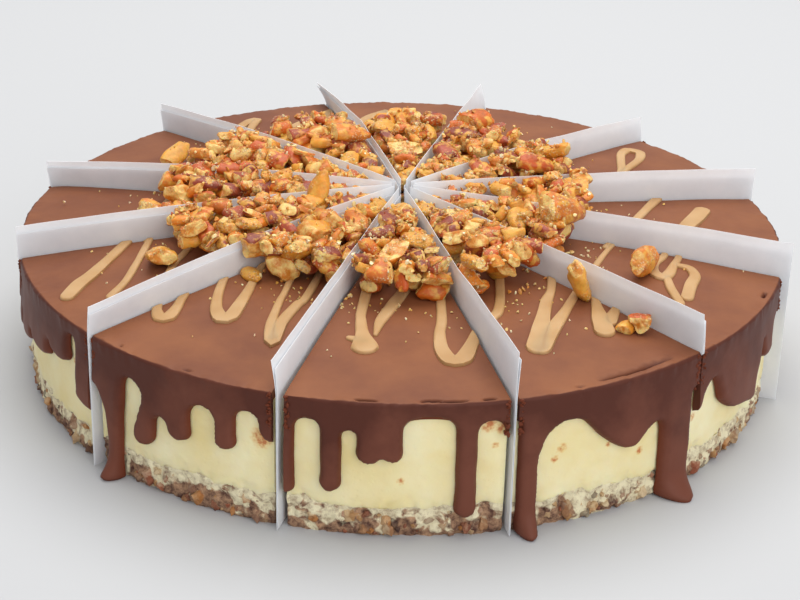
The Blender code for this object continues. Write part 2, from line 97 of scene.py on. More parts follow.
def add_node(tree, kind, values=(), links=(), stops=(), **settings):
    """Adds a node with its settings, the values of its sockets and the links into it.

    A node as the source of a link stands for its first output. Stops are the places and
    colours of a ramp. The sockets 6 and 7 of a mix are its two colours."""
    node = tree.nodes.new(kind)
    for name, value in settings.items():
        setattr(node, name, value)
    for socket, value in dict(values).items():
        node.inputs[socket].default_value = value
    for socket, source in dict(links).items():
        output = source.outputs[0] if isinstance(source, bpy.types.Node) else source
        tree.links.new(output, node.inputs[socket])
    for place, (position, colour) in enumerate(stops):
        node.color_ramp.elements[place].position = position
        node.color_ramp.elements[place].color = linear(colour)
    return node


def start_material(name, roughness, **shader_values):
    """A material with an empty Principled shader, its node tree and that shader."""
    made = bpy.data.materials.new(name)
    made.use_nodes = True
    shader = made.node_tree.nodes["Principled BSDF"]
    shader.inputs["Roughness"].default_value = roughness
    for socket, value in shader_values.items():
        shader.inputs[socket.replace("_", " ")].default_value = value
    return made, made.node_tree, shader


floor_paint = start_material("matt_studio_paint", 0.9, Base_Color=linear(FLOOR_COLOUR),
                             Specular_IOR_Level=0.15)
floor_mesh = bpy.data.meshes.new("floor")
half = FLOOR_SIZE / 2
corners = ((-half, -half, 0), (half, -half, 0), (half, half, 0), (-half, half, 0))
floor_mesh.from_pydata(corners, [], [(0, 1, 2, 3)])
floor_mesh.materials.append(floor_paint[0])
floor = bpy.data.objects.new("floor", floor_mesh)
bpy.context.scene.collection.objects.link(floor)

for name, place, size, power, colour in (
    ("soft_top_light", (0.05, 0.35, 1.15), 1.3, 14.5, "#fffdfa"),
    ("soft_front_light", (0.62, -1.20, 0.73), 1.4, 9.1, "#ffffff"),
):
    lamp_data = bpy.data.lights.new(name, "AREA")
    lamp_data.shape = "DISK"
    lamp_data.size = size
    lamp_data.energy = power
    lamp_data.color = linear(colour)[:3]
    lamp = bpy.data.objects.new(name, lamp_data)
    lamp.location = place
    lamp.rotation_euler = (Vector((0, 0, 0.03)) - Vector(place)).to_track_quat("-Z", "Y").to_euler()
    bpy.context.scene.collection.objects.link(lamp)

world = bpy.data.worlds.new("pale_surround")
world.use_nodes = True
world.node_tree.nodes["Background"].inputs["Color"].default_value = linear("#f4f6f8")
world.node_tree.nodes["Background"].inputs["Strength"].default_value = 0.62
bpy.context.scene.world = world
bpy.context.scene.view_settings.view_transform = "Standard"


# The crust: baked crumb with broken pecans, pressed flat under the filling. Its cut rim is
# ragged, and pale batter has run in among the crumbs and the nuts.
CUT_ANGLES = (-105.4, -74.9, -45.2, -15.4, 15.2, 45.1, 75.6, 104.0, 135.6, 166.2, 195.0, 223.8)
SLICES = range(1, 13)
RIM_RADIUS = 0.1143
RIM_HEIGHT = 0.0402
DOME_RISE = 0.0046
HALF_CUT = 0.00085               # from the middle of a cut to the cake beside it
CUT_SPREADS = {1: 0.42, 2: 0.16, 3: -0.25}   # how many degrees wider, or narrower, on either side
POINT_RADIUS = 0.0045
CORE_RADIUS = 0.100              # inside this a slice has coarse faces
CRUST_RADIUS = 0.1116
CRUST_HEIGHT = 0.0088
CRUST_WAVE = 0.0022
CRUST_GRID = 0.00055
CRUST_CRUMBS = 60                # on the side of one slice
BATTER_REACH = {2: 1.7, 3: 1.9, 11: 1.2, 12: 1.5}     # where the batter ran deeper into the crumb
FOOT_HEIGHT = 0.0015             # below this the crust draws in
FOOT_INSET = 0.0006
CRUMB_SHAPES = 6
CRUMB_SIZES = (0.0011, 0.0034)
CRUMB_SCALES = (0.5, 0.7, 1.0, 1.5)
CRUMB_TINTS = (
    "#8a4a34", "#a97850", "#5b3a2e", "#9a4c30", "#c0905a", "#c8a67c", "#3b2a28", "#bd7a38", "#8a6450")


def polar(radius, angle, height):
    """A point from its distance from the axis, its angle in degrees and its height."""
    turn = math.radians(angle)
    return Vector((radius * math.cos(turn), radius * math.sin(turn), height))


def surface_height(radius):
    """The height of the cake's domed top."""
    return RIM_HEIGHT + DOME_RISE * (1.0 - (radius / RIM_RADIUS) ** 2)


def cut_angle(number):
    """A cut's angle in degrees; the cut after the last one is the first, a turn further on."""
    turns, place = divmod(number - 1, len(CUT_ANGLES))
    return CUT_ANGLES[place] + 360.0 * turns


def cut_face(number, way):
    """The angle of a cut's face: way is 1 on the slice after the cut and -1 on the one before."""
    return cut_angle(number) + way * CUT_SPREADS.get((number - 1) % len(CUT_ANGLES) + 1, 0.0)


def slice_angle(number, radius, share):
    """The angle at a share of the way across a slice, whose faces are parallel to the cuts."""
    inset = math.degrees(math.asin(HALF_CUT / radius))
    start = cut_face(number, 1.0) + inset
    return start + (cut_face(number + 1, -1.0) - inset - start) * share


def slice_span(number, radius):
    """How long the curved side of a slice is at a radius."""
    return radius * math.radians(slice_angle(number, RIM_RADIUS, 1) - slice_angle(number, RIM_RADIUS, 0))


def crust_top(angle):
    """The uneven line where the crust ends and the filling starts."""
    place = polar(7.0, angle, 0.0)
    return (CRUST_HEIGHT + CRUST_WAVE * noise.noise(place) + 0.5 * CRUST_WAVE * noise.noise(place * 3.1)
            + 0.35 * CRUST_WAVE * noise.noise(place * 9.0))


def new_piece(name, mesh, material, slot, *nodes):
    """Makes a finished mesh a piece of the cake that rides on it and stands for its nodes.

    The slot is not used."""
    mesh.materials.clear()
    mesh.materials.append(material)
    piece = bpy.data.objects.new(name, mesh)
    bpy.context.scene.collection.objects.link(piece)
    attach(piece, "root")
    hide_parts(*nodes)


def mesh_of(bm, name, sharp_angle=None):
    """Turns a bmesh into a mesh, smooth up to a sharp angle where one is given."""
    mesh = bpy.data.meshes.new(name)
    if sharp_angle:
        for face in bm.faces:
            face.smooth = True
    bm.to_mesh(mesh)
    bm.free()
    if sharp_angle:
        mesh.set_sharp_from_angle(angle=math.radians(sharp_angle))
    return mesh


def mark(mesh, name, values, domain="POINT"):
    """Gives a mesh a named value on each of its points or faces, for its material."""
    mesh.attributes.new(name, "FLOAT", domain).data.foreach_set("value", values)


def block_of_slice(number, side, top_rows, bottom_rows):
    """A closed block: a fine grid for its curved side, and coarse rows inside the cake.

    side is a grid of points from the bottom up; the rows run from the side inwards."""
    bm = bmesh.new()
    grid = [[bm.verts.new(point) for point in row] for row in side]
    for low, high in zip(grid, grid[1:]):
        for place in range(len(low) - 1):
            bm.faces.new((low[place], low[place + 1], high[place + 1], high[place]))
    edges = []
    for rows, start in ((top_rows, grid[-1]), (bottom_rows, grid[0])):
        last = start
        for radius, height in rows:
            ends = [polar(radius, slice_angle(number, radius, share), height) for share in (0, 1)]
            row = [bm.verts.new(end) for end in ends]
            bm.faces.new([*last, row[1], row[0]])
            last = row
        edges.append(last)
    top, bottom = edges
    bm.faces.new((bottom[0], bottom[1], top[1], top[0]))
    bm.edges.ensure_lookup_table()
    bmesh.ops.holes_fill(bm, edges=[edge for edge in bm.edges if edge.is_boundary])
    flat = [face for face in bm.faces if len(face.verts) > 4]
    bmesh.ops.triangulate(bm, faces=flat)
    bmesh.ops.recalc_face_normals(bm, faces=bm.faces)
    return mesh_of(bm, "block", 50)


def side_grid(number, rows, columns, radius_and_height):
    """Rows of points over the curved side of a slice, from the bottom up."""
    grid = []
    for level in range(rows + 1):
        row = []
        for column in range(columns + 1):
            share = column / columns
            radius, height = radius_and_height(slice_angle(number, RIM_RADIUS, share), level, rows)
            row.append(polar(radius, slice_angle(number, radius, share), height))
        grid.append(row)
    return grid


def rough_lump(name, seed, stretch, roughness, rounds=2):
    """A small broken lump, one unit long, for scattering."""
    bm = bmesh.new()
    bmesh.ops.create_icosphere(bm, subdivisions=rounds, radius=0.5)
    for vert in bm.verts:
        rough = 1.0 + roughness * noise.noise(vert.co * 3.1 + Vector((seed, 0.0, 7.0)))
        vert.co = Vector([value * scale for value, scale in zip(vert.co, stretch)]) * rough
    return bpy.data.objects.new(name, mesh_of(bm, name))


def new_tree(name, *inputs):
    """An empty Geometry Nodes tree with its inputs, each a title and a kind, and their node."""
    tree = bpy.data.node_groups.new(name, "GeometryNodeTree")
    tree.interface.new_socket("Geometry", in_out="OUTPUT", socket_type="NodeSocketGeometry")
    for title, kind in inputs:
        tree.interface.new_socket(title, in_out="INPUT", socket_type=f"NodeSocket{kind}")
    return tree, add_node(tree, "NodeGroupInput")


def end_tree(tree, made, given):
    """Ends a tree: what it made becomes one real mesh in the material that it was given."""
    real = add_node(tree, "GeometryNodeRealizeInstances", links={"Geometry": made})
    painted = add_node(tree, "GeometryNodeSetMaterial", links={
        "Geometry": real, "Material": given.outputs["Material"]})
    add_node(tree, "NodeGroupOutput", links={"Geometry": painted})
    return tree


def run_tree(tree, mesh, **inputs):
    """The mesh that a Geometry Nodes tree makes from another mesh."""
    carrier = bpy.data.objects.new(tree.name, mesh)
    bpy.context.scene.collection.objects.link(carrier)
    modifier = carrier.modifiers.new(tree.name, "NODES")
    modifier.node_group = tree
    for item in tree.interface.items_tree:
        if item.name in inputs:
            modifier[item.identifier] = inputs[item.name]
    made = bpy.data.meshes.new_from_object(carrier.evaluated_get(bpy.context.evaluated_depsgraph_get()))
    bpy.data.objects.remove(carrier, do_unlink=True)
    return made


def scatter_tree(name):
    """A Geometry Nodes tree that puts one of several shapes on each point of a cloud.

    Each point's own attributes say which shape (kind), how it is turned and its size."""
    tree, given = new_tree(name, ("Points", "Geometry"), ("Shapes", "Collection"), ("Material", "Material"))
    shapes = add_node(tree, "GeometryNodeCollectionInfo", {"Separate Children": True, "Reset Children": True},
                      {"Collection": given.outputs["Shapes"]})
    kind, turn, size = [
        add_node(tree, "GeometryNodeInputNamedAttribute", {"Name": title}, data_type=data_type)
        for title, data_type in (("kind", "INT"), ("turn", "FLOAT_VECTOR"), ("size", "FLOAT"))]
    turning = add_node(tree, "FunctionNodeEulerToRotation", links={"Euler": turn})
    points = add_node(tree, "GeometryNodeMeshToPoints", links={"Mesh": given.outputs["Points"]})
    placed = add_node(tree, "GeometryNodeInstanceOnPoints", {"Pick Instance": True}, {
        "Points": points, "Instance": shapes, "Instance Index": kind, "Rotation": turning, "Scale": size})
    return end_tree(tree, placed, given)


def scattered_mesh(tree, spots, shapes, material):
    """The mesh of shapes put on spots: a list of point, kind, turn, size and colour."""
    mesh = bpy.data.meshes.new("spots")
    mesh.from_pydata([spot[0] for spot in spots], [], [])
    for column, name, kind, field in (
        (1, "kind", "INT", "value"), (2, "turn", "FLOAT_VECTOR", "vector"),
        (3, "size", "FLOAT", "value"), (4, "tint", "FLOAT_COLOR", "color"),
    ):
        attribute = mesh.attributes.new(name, kind, "POINT")
        attribute.data.foreach_set(field, np.array([spot[column] for spot in spots]).ravel())
    return run_tree(tree, mesh, Shapes=shapes, Material=material)


def shape_collection(name, shapes):
    """A collection that only the scatter trees read."""
    group = bpy.data.collections.new(name)
    for shape in shapes:
        group.objects.link(shape)
    return group


def join_meshes(meshes, sharp_angle):
    """One mesh from several, smooth but for sharp edges."""
    bm = bmesh.new()
    for mesh in meshes:
        bm.from_mesh(mesh)
    return mesh_of(bm, "joined", sharp_angle)


# Baked crumb: matt, pale batter broken by brown crumbs a millimetre or two across.
crust_material, tree, shader = start_material("baked_crumb", 0.8, Specular_IOR_Level=0.3)
by_place = {"Vector": add_node(tree, "ShaderNodeTexCoord").outputs["Object"]}
grains = add_node(tree, "ShaderNodeTexNoise", {"Scale": 420.0, "Detail": 6.0, "Roughness": 0.7}, by_place)
patches = add_node(tree, "ShaderNodeTexNoise", {"Scale": 170.0, "Detail": 3.0, "Distortion": 0.6}, by_place)
batter = add_node(tree, "ShaderNodeValToRGB", links={"Fac": grains},
                  stops=((0.34, "#ab9478"), (0.54, "#f1e6c2")))
crumb = add_node(tree, "ShaderNodeValToRGB", links={"Fac": grains},
                 stops=((0.38, "#5c3d34"), (0.64, "#c29a78")))
below = add_node(tree, "ShaderNodeAttribute", attribute_name="below")
ragged = add_node(tree, "ShaderNodeMath", {1: 1.7}, {0: patches}, operation="MULTIPLY")
lower = add_node(tree, "ShaderNodeMath", {1: 55.0}, {0: below.outputs["Fac"], 2: ragged},
                 operation="MULTIPLY_ADD")
split = add_node(tree, "ShaderNodeMapRange", {"From Min": 1.00, "From Max": 1.12}, {"Value": lower})
blend = add_node(tree, "ShaderNodeMix", links={"Factor": split, 6: batter, 7: crumb}, data_type="RGBA")
tinted = add_node(tree, "ShaderNodeAttribute", attribute_name="tint")
piece_colour = add_node(tree, "ShaderNodeMix", {"Factor": 0.35}, {6: tinted, 7: blend.outputs[2]},
                        data_type="RGBA")
is_piece = add_node(tree, "ShaderNodeAttribute", attribute_name="piece")
crust_colour = add_node(tree, "ShaderNodeMix", links={
    "Factor": is_piece.outputs["Fac"], 6: blend.outputs[2], 7: piece_colour.outputs[2]}, data_type="RGBA")
tree.links.new(crust_colour.outputs[2], shader.inputs["Base Color"])
grit = add_node(tree, "ShaderNodeBump", {"Strength": 0.9, "Distance": 0.0008}, {"Height": grains})
tree.links.new(grit.outputs["Normal"], shader.inputs["Normal"])

crumb_shapes = shape_collection("crumb_shapes", [
    rough_lump(f"crumb_shape_{index}", 3.0 * index, (1.0, 0.75, 0.6), 0.7) for index in range(CRUMB_SHAPES)])
crumb_tree = scatter_tree("scatter_crumbs")


def crust_side(angle, level, rows):
    """The radius and height of a point of the crust's broken side."""
    height = crust_top(angle) * level / rows
    spot = polar(CRUST_RADIUS, angle, height)
    relief = 0.0009 * noise.noise(spot * 260.0) + 0.0007 * noise.noise(spot * 620.0)
    inset = FOOT_INSET * (1.0 - min(1.0, height / FOOT_HEIGHT))
    return CRUST_RADIUS + 0.0002 + relief - inset, height


for number in SLICES:
    rng = random.Random(500 + number)
    columns = round(slice_span(number, RIM_RADIUS) / CRUST_GRID)
    rows = round(CRUST_HEIGHT / CRUST_GRID)
    side = side_grid(number, rows, columns, crust_side)
    inside = ((CORE_RADIUS, CRUST_HEIGHT), (POINT_RADIUS, CRUST_HEIGHT))
    block = block_of_slice(number, side, inside, ((POINT_RADIUS, 0.0),))
    spots = []
    for index in range(CRUST_CRUMBS):
        share = rng.uniform(0.04, 0.96)
        angle = slice_angle(number, RIM_RADIUS, share)
        size = rng.uniform(*CRUMB_SIZES) * rng.choice(CRUMB_SCALES)
        height = 0.4 * size + (crust_top(angle) - size) * rng.random() ** 1.7
        spots.append((polar(CRUST_RADIUS - 0.0002, angle, height), rng.randrange(CRUMB_SHAPES),
                      [rng.uniform(0, math.tau) for axis in range(3)], size, linear(rng.choice(CRUMB_TINTS))))
    crumbs = scattered_mesh(crumb_tree, spots, crumb_shapes, crust_material)
    for vert in crumbs.vertices:
        vert.co.z = max(vert.co.z, 0.0)
    mark(crumbs, "piece", np.ones(len(crumbs.vertices)))
    for part in (block, crumbs):
        tops = [crust_top(math.degrees(math.atan2(vert.co.y, vert.co.x))) for vert in part.vertices]
        mark(part, "below", [(top - vert.co.z) / BATTER_REACH.get(number, 1.0)
                             for top, vert in zip(tops, part.vertices)])
    mesh = join_meshes((block, crumbs), 45)
    new_piece(f"crust_slice_{number:02d}", mesh, crust_material, "crust", f"crust_{number:02d}")


# The filling: baked cream cheese, close and smooth, with pinholes where it was spread and
# orange stains where the ganache's fat has run into it.
FILLING_RADIUS = 0.1124
GANACHE_TOP = 0.0032             # how thick the ganache is over it
FILLING_TOP = surface_height(FILLING_RADIUS) - GANACHE_TOP
LAYER_GAP = 0.0003               # between two layers inside the cake
LAYER_LAP = 0.0002               # how far the filling's side starts below the crust's top
FILLING_GRID = 0.0008
TAPER_ROWS = 4                   # over which it draws in to the crust
STAINS = (
    (-108.0, 0.0255, 0.0042), (-89.4, 0.0168, 0.0016), (-78.0, 0.0325, 0.0030), (-76.2, 0.0315, 0.0028),
    (-77.0, 0.0265, 0.0014), (-67.6, 0.0230, 0.0020), (-68.6, 0.0200, 0.0016), (-54.8, 0.0160, 0.0018),
    (-60.4, 0.0210, 0.0014), (-44.6, 0.0195, 0.0018), (-136.5, 0.0160, 0.0015), (-142.0, 0.0270, 0.0018),
)

filling_material, tree, shader = start_material(
    "baked_cream_cheese", 0.55, Specular_IOR_Level=0.35, Subsurface_Weight=0.35, Subsurface_Scale=0.002,
    Subsurface_Radius=(1.0, 0.75, 0.35))
by_place = {"Vector": add_node(tree, "ShaderNodeTexCoord").outputs["Object"]}
cloudy = add_node(tree, "ShaderNodeTexNoise", {"Scale": 55.0, "Detail": 4.0}, by_place)
cream = add_node(tree, "ShaderNodeValToRGB", links={"Fac": cloudy},
                 stops=((0.35, "#ecd99c"), (0.70, "#f6ecc2")))
stain = add_node(tree, "ShaderNodeAttribute", attribute_name="stain")
speckle = add_node(tree, "ShaderNodeTexNoise", {"Scale": 900.0, "Detail": 3.0}, by_place)
broken = add_node(tree, "ShaderNodeMath", links={0: stain.outputs["Fac"], 1: speckle}, operation="MULTIPLY")
amount = add_node(tree, "ShaderNodeMapRange", {"From Min": 0.14, "From Max": 0.50, "To Max": 0.85},
                  {"Value": broken})
fat = add_node(tree, "ShaderNodeValToRGB", links={"Fac": broken},
               stops=((0.18, "#eec468"), (0.52, "#c05e1c")))
stained = add_node(tree, "ShaderNodeMix", links={"Factor": amount, 6: cream, 7: fat}, data_type="RGBA")
tree.links.new(stained.outputs[2], shader.inputs["Base Color"])
pores = add_node(tree, "ShaderNodeTexVoronoi", {"Scale": 700.0}, by_place)
pinholes = add_node(tree, "ShaderNodeMapRange", {"From Min": 0.0, "From Max": 0.35}, {"Value": pores})
uneven = add_node(tree, "ShaderNodeTexNoise", {"Scale": 240.0, "Detail": 5.0}, by_place)
height = add_node(tree, "ShaderNodeMath", {1: 0.25}, {0: pinholes, 2: uneven}, operation="MULTIPLY_ADD")
skin = add_node(tree, "ShaderNodeBump", {"Strength": 0.35, "Distance": 0.0005}, {"Height": height})
tree.links.new(skin.outputs["Normal"], shader.inputs["Normal"])


def stain_at(point):
    """How strongly the filling is stained at a point of its side."""
    strongest = 0.0
    for angle, height, size in STAINS:
        away = (point - polar(FILLING_RADIUS, angle, height)).length / size
        strongest = max(strongest, 1.0 - away * away)
    return strongest


def filling_side(angle, level, rows):
    """The radius and height of a point of the filling's side, which draws in to the crust."""
    bottom = crust_top(angle) - LAYER_LAP
    height = bottom + (FILLING_TOP - bottom) * level / rows
    spot = polar(FILLING_RADIUS, angle, height)
    wave = 0.00022 * noise.noise(Vector((spot.x * 150, spot.y * 150, spot.z * 40)))
    wave += 0.00016 * noise.noise(spot * 520.0)
    foot = 0.0009 * noise.noise(spot * 260.0) + 0.0005 * noise.noise(spot * 620.0) + 0.0003
    fade = min(1.0, level / TAPER_ROWS)
    radius = CRUST_RADIUS - 0.0001 + (FILLING_RADIUS - CRUST_RADIUS - 0.0001) * fade
    return radius + wave + foot * (1.0 - fade), height


for number in SLICES:
    columns = round(slice_span(number, FILLING_RADIUS) / FILLING_GRID)
    rows = round((FILLING_TOP - CRUST_HEIGHT) / FILLING_GRID)
    side = side_grid(number, rows, columns, filling_side)
    over = [(radius, surface_height(radius) - GANACHE_TOP) for radius in (0.090, 0.060, 0.030, POINT_RADIUS)]
    under = [(radius, CRUST_HEIGHT + LAYER_GAP) for radius in (CORE_RADIUS, POINT_RADIUS)]
    mesh = block_of_slice(number, side, over, under)
    mark(mesh, "stain", [stain_at(vert.co) for vert in mesh.vertices])
    new_piece(f"filling_slice_{number:02d}", mesh, filling_material, "filling", f"filling_{number:02d}")


# The ganache: chocolate poured warm over the top. It set in a smooth sheet that turns down
# over the rim and ends in rounded runs on the side, a few of which reached the base.
SHOULDER = 0.0006                # the round of the rim
SHOULDER_ROWS = (0.0003, 0.0006, 0.00095, 0.0014)
BAND_RADIUS = 0.1143
INNER_RADIUS = 0.1127
UNDER_CORNER = surface_height(INNER_RADIUS) - GANACHE_TOP + LAYER_GAP
EDGE_ROUND = 0.0023              # how far in from its edge a run is at full thickness
RUN_BULGE = 0.0007
EDGE_STEP = 0.00045
SIDE_SPACING = 0.00075
RIM_ROWS = (0.0004, 0.0008, 0.0012, 0.0016, 0.0021, 0.0026)   # on the top, in from the rim
CHIPS = (                # slits behind the rim, cut in and painted with shade: from and to which angle, how far in, depth
    (-95.4, -92.6, 0.0008, 0.0019), (-86.9, -84.2, 0.0010, 0.0020), (-84.5, -81.0, 0.0007, 0.0018),
    (-79.0, -77.4, 0.0008, 0.0019), (-62.5, -49.5, 0.0022, 0.0011), (-24.0, -22.0, 0.0018, 0.0012),
    (-119.5, -118.2, 0.0012, 0.0006), (-131.0, -130.2, 0.0012, 0.0005), (-66.0, -65.0, 0.0012, 0.0005),
)
TOP_SPACING = 0.0019
RIM_STEP = 0.0008                # between the points of the rim
BORDER_STEP = 0.0009             # between those of the straight borders at the cuts
EDGE_THICKNESS = 0.00012         # of a run at its very edge
SIDE_BULGE = 2e-6                # of the straight borders, so that no triangle lies along them
TOP_BULGE = 1e-4
FINE_STEP = 0.0001               # along the rim, for the plain runs
DRAWN_STEP = 0.0003              # along an uneven stretch
SMALLEST_GAP = 0.0005            # between two runs that gets an arch
JOINED_GAP = 0.0010              # runs nearer than this are joined by a web
HALVED_REACH = 0.0006            # a run that starts nearer than this to a cut was halved by it
FOOT_ROUND = 0.0008              # of the end of a run on the base
TIP_ROUND = 0.0034               # of one that hangs
PUDDLE_HEIGHT = 0.0085           # below this a run spreads out to its foot
ARCH_HEIGHT = 0.0340             # where nothing ran down
FIRST_ARCH = 0.0335              # beside the cut at a slice's start
ARCH_BEND = 0.0046               # from the middle of an arch down to its ends
ARCH_POWER = 2.4
RUNS = {                 # each run's start and end, tip, foot spread and the arch after it
    1: ((-105.4, -103.4, 0.0112, 0, 0.0337), (-99.95, -97.15, 0.0132, 0, 0.0313),
        (-95.2, -91.8, 0.0220, 0, 0.0236), (-91.7, -89.2, 0.0226, 0, 0.0358),
        (-82.3, -79.4, 0.0062, 0, 0.0340), (-75.8, -74.9, 0.0290, 0, 0)),
    2: ((-74.0, -70.8, 0, 0.0055, 0.0310), (-60.0, -54.6, 0.0182, 0, 0.0243),
        (-51.6, -46.2, 0, 0.0080, 0.0300)),
    3: ((-45.2, -43.2, 0.0220, 0, 0.0290), (-39.4, -29.0, 0.0130, 0, 0.0280),
        (-24.5, -20.6, 0.0210, 0, 0.0300)),
    11: ((195.0, 197.4, 0.0185, 0, 0.0255), (197.7, 203.3, 0.0195, 0, 0.0245),
         (203.8, 210.8, 0.0216, 0, 0.0277), (211.4, 217.3, 0.0253, 0, 0.0356),
         (219.4, 223.8, 0.0164, 0, 0)),
    12: ((223.8, 225.8, 0.0225, 0, 0.0225), (226.0, 229.3, 0, 0.0048, 0.0314),
         (232.6, 235.8, 0.0137, 0, 0.0243), (238.0, 241.5, 0.0192, 0, 0.0313),
         (245.4, 248.4, 0.0203, 0, 0.0328), (251.8, 254.6, 0.0252, 0, 0)),
}
RUNS_PER_PLAIN_SLICE = (3, 4, 4, 5)
UNEVEN_EDGES = {         # a stretch whose lower edge isn't a row of plain runs: angles and heights
    2: ((-71.1, 0.0199), (-71.0, 0.0232), (-69.8, 0.0285), (-67.9, 0.0313), (-65.3, 0.0310), (-63.7, 0.0282),
        (-61.9, 0.0245), (-59.6, 0.0208), (-57.7, 0.0189), (-56.1, 0.0193), (-54.5, 0.0226), (-52.7, 0.0244),
        (-51.8, 0.0215), (-51.6, 0.0100)),
    3: ((-44.8, 0.0218), (-43.9, 0.0233), (-43.2, 0.0268), (-41.2, 0.0297), (-40.0, 0.0256), (-39.0, 0.0212),
        (-36.8, 0.0176), (-34.5, 0.0152), (-31.0, 0.0136), (-28.6, 0.0124), (-27.6, 0.0140), (-27.2, 0.0200),
        (-26.2, 0.0246), (-25.1, 0.0290)),
    12: ((224.2, 0.0256), (224.9, 0.0247), (225.7, 0.0219), (226.3, 0.0190), (226.7, 0.0128), (226.6, 0.0045),
         (226.3, 0.0006), (226.7, 0.0), (228.9, 0.0), (229.3, 0.0010), (229.2, 0.0058), (229.4, 0.0149),
         (229.8, 0.0240), (230.1, 0.0300), (230.8, 0.0322), (232.2, 0.0317), (233.2, 0.0298), (233.4, 0.0276),
         (232.8, 0.0236), (231.9, 0.0180), (232.1, 0.0151), (233.6, 0.0136), (235.4, 0.0166),
         (235.8, 0.0225)),
}


def slice_runs(number):
    """Each run's start, end, tip height, foot spread and the height of the arch after it."""
    if number in RUNS:
        turns = 360.0 * round((cut_angle(number) - RUNS[number][0][0]) / 360.0)
        return [(start + turns, end + turns, *rest) for start, end, *rest in RUNS[number]]
    rng = random.Random(40 + number)
    count = rng.choice(RUNS_PER_PLAIN_SLICE)
    first, last = slice_angle(number, RIM_RADIUS, 0.0), slice_angle(number, RIM_RADIUS, 1.0)
    pitch = (last - first) / count
    runs = []
    for index in range(count):
        width = rng.uniform(2.8, 4.4)
        start = first + pitch * index + rng.uniform(0.6, pitch - width - 0.6)
        tip = rng.choice((0.0065, 0.0120, 0.0165, 0.0205, 0.0240))
        runs.append((start, start + width, tip, 0, rng.uniform(0.0290, 0.0350)))
    return runs


def arch_heights(top, half_gap, across):
    """The rounded arch between two runs: across is 0 in its middle and 1 at its ends."""
    bend = min(1.15 * half_gap, ARCH_BEND)
    return top - bend + bend * (1.0 - across ** ARCH_POWER) ** (1 / ARCH_POWER)


def lower_edge(number):
    """The ganache's lower edge as points: distance along the rim and height, in metres."""
    first = slice_angle(number, RIM_RADIUS, 0.0)
    per_degree = math.radians(RIM_RADIUS)
    length = (slice_angle(number, RIM_RADIUS, 1.0) - first) * per_degree
    runs = [((start - first) * per_degree, (end - first) * per_degree, tip, foot, arch)
            for start, end, tip, foot, arch in slice_runs(number)]
    places = np.linspace(0.0, length, round(length / FINE_STEP) + 1)
    heights = np.full(places.shape, ARCH_HEIGHT)
    for index, (start, end, tip, foot, arch) in enumerate(runs):
        after = runs[index + 1][0] if index + 1 < len(runs) else None
        if after is None:
            middle, half_gap = length, length - end
        else:
            middle, half_gap = (end + after) / 2.0, (after - end) / 2.0
        if half_gap > SMALLEST_GAP:
            across = np.clip(np.abs(places - middle) / half_gap, 0.0, 1.0)
            gap = (places > end) & (places < middle + half_gap)
            heights[gap] = arch_heights(arch, half_gap, across)[gap]
    if runs[0][0] > SMALLEST_GAP:
        across = np.clip(places / runs[0][0], 0.0, 1.0)
        gap = places < runs[0][0]
        heights[gap] = arch_heights(FIRST_ARCH, runs[0][0], across)[gap]
    for start, end, tip, foot, arch in runs:
        if start < HALVED_REACH:
            middle, half_width = 0.0, end
        elif end > length - HALVED_REACH:
            middle, half_width = length, length - start
        else:
            middle, half_width = (start + end) / 2.0, (end - start) / 2.0
        rounding = FOOT_ROUND if foot else min(half_width, TIP_ROUND)
        across = np.clip(np.abs(places - middle) / half_width, 0.0, 1.0)
        inside = (places >= start) & (places <= end)
        heights[inside] = (tip + rounding * (1.0 - np.sqrt(1.0 - across ** 2)))[inside]
    for (start, end, tip, foot, arch), following in zip(runs, runs[1:]):
        if following[0] - end < JOINED_GAP:
            web = (places > (start + end) / 2.0) & (places < (following[0] + following[1]) / 2.0)
            heights[web] = np.minimum(heights[web], arch)
    outline = np.stack([places, heights], axis=1)
    plain = [(0.0, length)]
    if number in UNEVEN_EDGES:
        stretch = UNEVEN_EDGES[number]
        turns = 360.0 * round((cut_angle(number) - stretch[0][0]) / 360.0)
        drawn = spline([((angle + turns - first) * per_degree, height) for angle, height in stretch],
                       DRAWN_STEP)
        drawn = np.clip(drawn, 0.0, [length, 1.0])
        low_end, high_end = drawn[0][0], drawn[-1][0]
        outline = np.vstack([outline[outline[:, 0] < low_end], drawn, outline[outline[:, 0] > high_end]])
        plain = [(0.0, low_end), (high_end, length)]
    line = even_line(outline, EDGE_STEP)
    for start, end, tip, foot, arch in runs:
        if not any(low_end <= (start + end) / 2.0 <= high_end for low_end, high_end in plain):
            continue
        low = np.clip((line[:, 1] - tip) / 0.0050, 0.0, 1.0)
        near = (line[:, 0] > start - 0.0005) & (line[:, 0] < end + 0.0005)
        swell = 0.06 * 4.0 * low * (1.0 - low) * near
        line[:, 0] += (line[:, 0] - (start + end) / 2.0) * swell
    for point in line:
        point[0] += 0.00022 * noise.noise(Vector((point[0] * 230, point[1] * 170, number)))
    line[:, 0] = np.clip(line[:, 0], 0.0, length)
    line[0, 0], line[-1, 0] = 0.0, length
    return length, line


def spline(points, step):
    """A smooth line through points, with more points at about this step."""
    points = np.array(points, float)
    fine = []
    padded = np.vstack([2 * points[0] - points[1], points, 2 * points[-1] - points[-2]])
    for index in range(1, len(padded) - 2):
        before, start, end, after = padded[index - 1:index + 3]
        count = max(2, round(np.linalg.norm((end - start)[:2]) / step))
        for share in np.arange(count) / count:
            tangent_in, tangent_out = 0.4 * (end - before), 0.4 * (after - start)
            square, cube = share ** 2, share ** 3
            fine.append((2 * cube - 3 * square + 1) * start + (cube - 2 * square + share) * tangent_in
                        + (3 * square - 2 * cube) * end + (cube - square) * tangent_out)
    fine.append(points[-1])
    return np.array(fine)


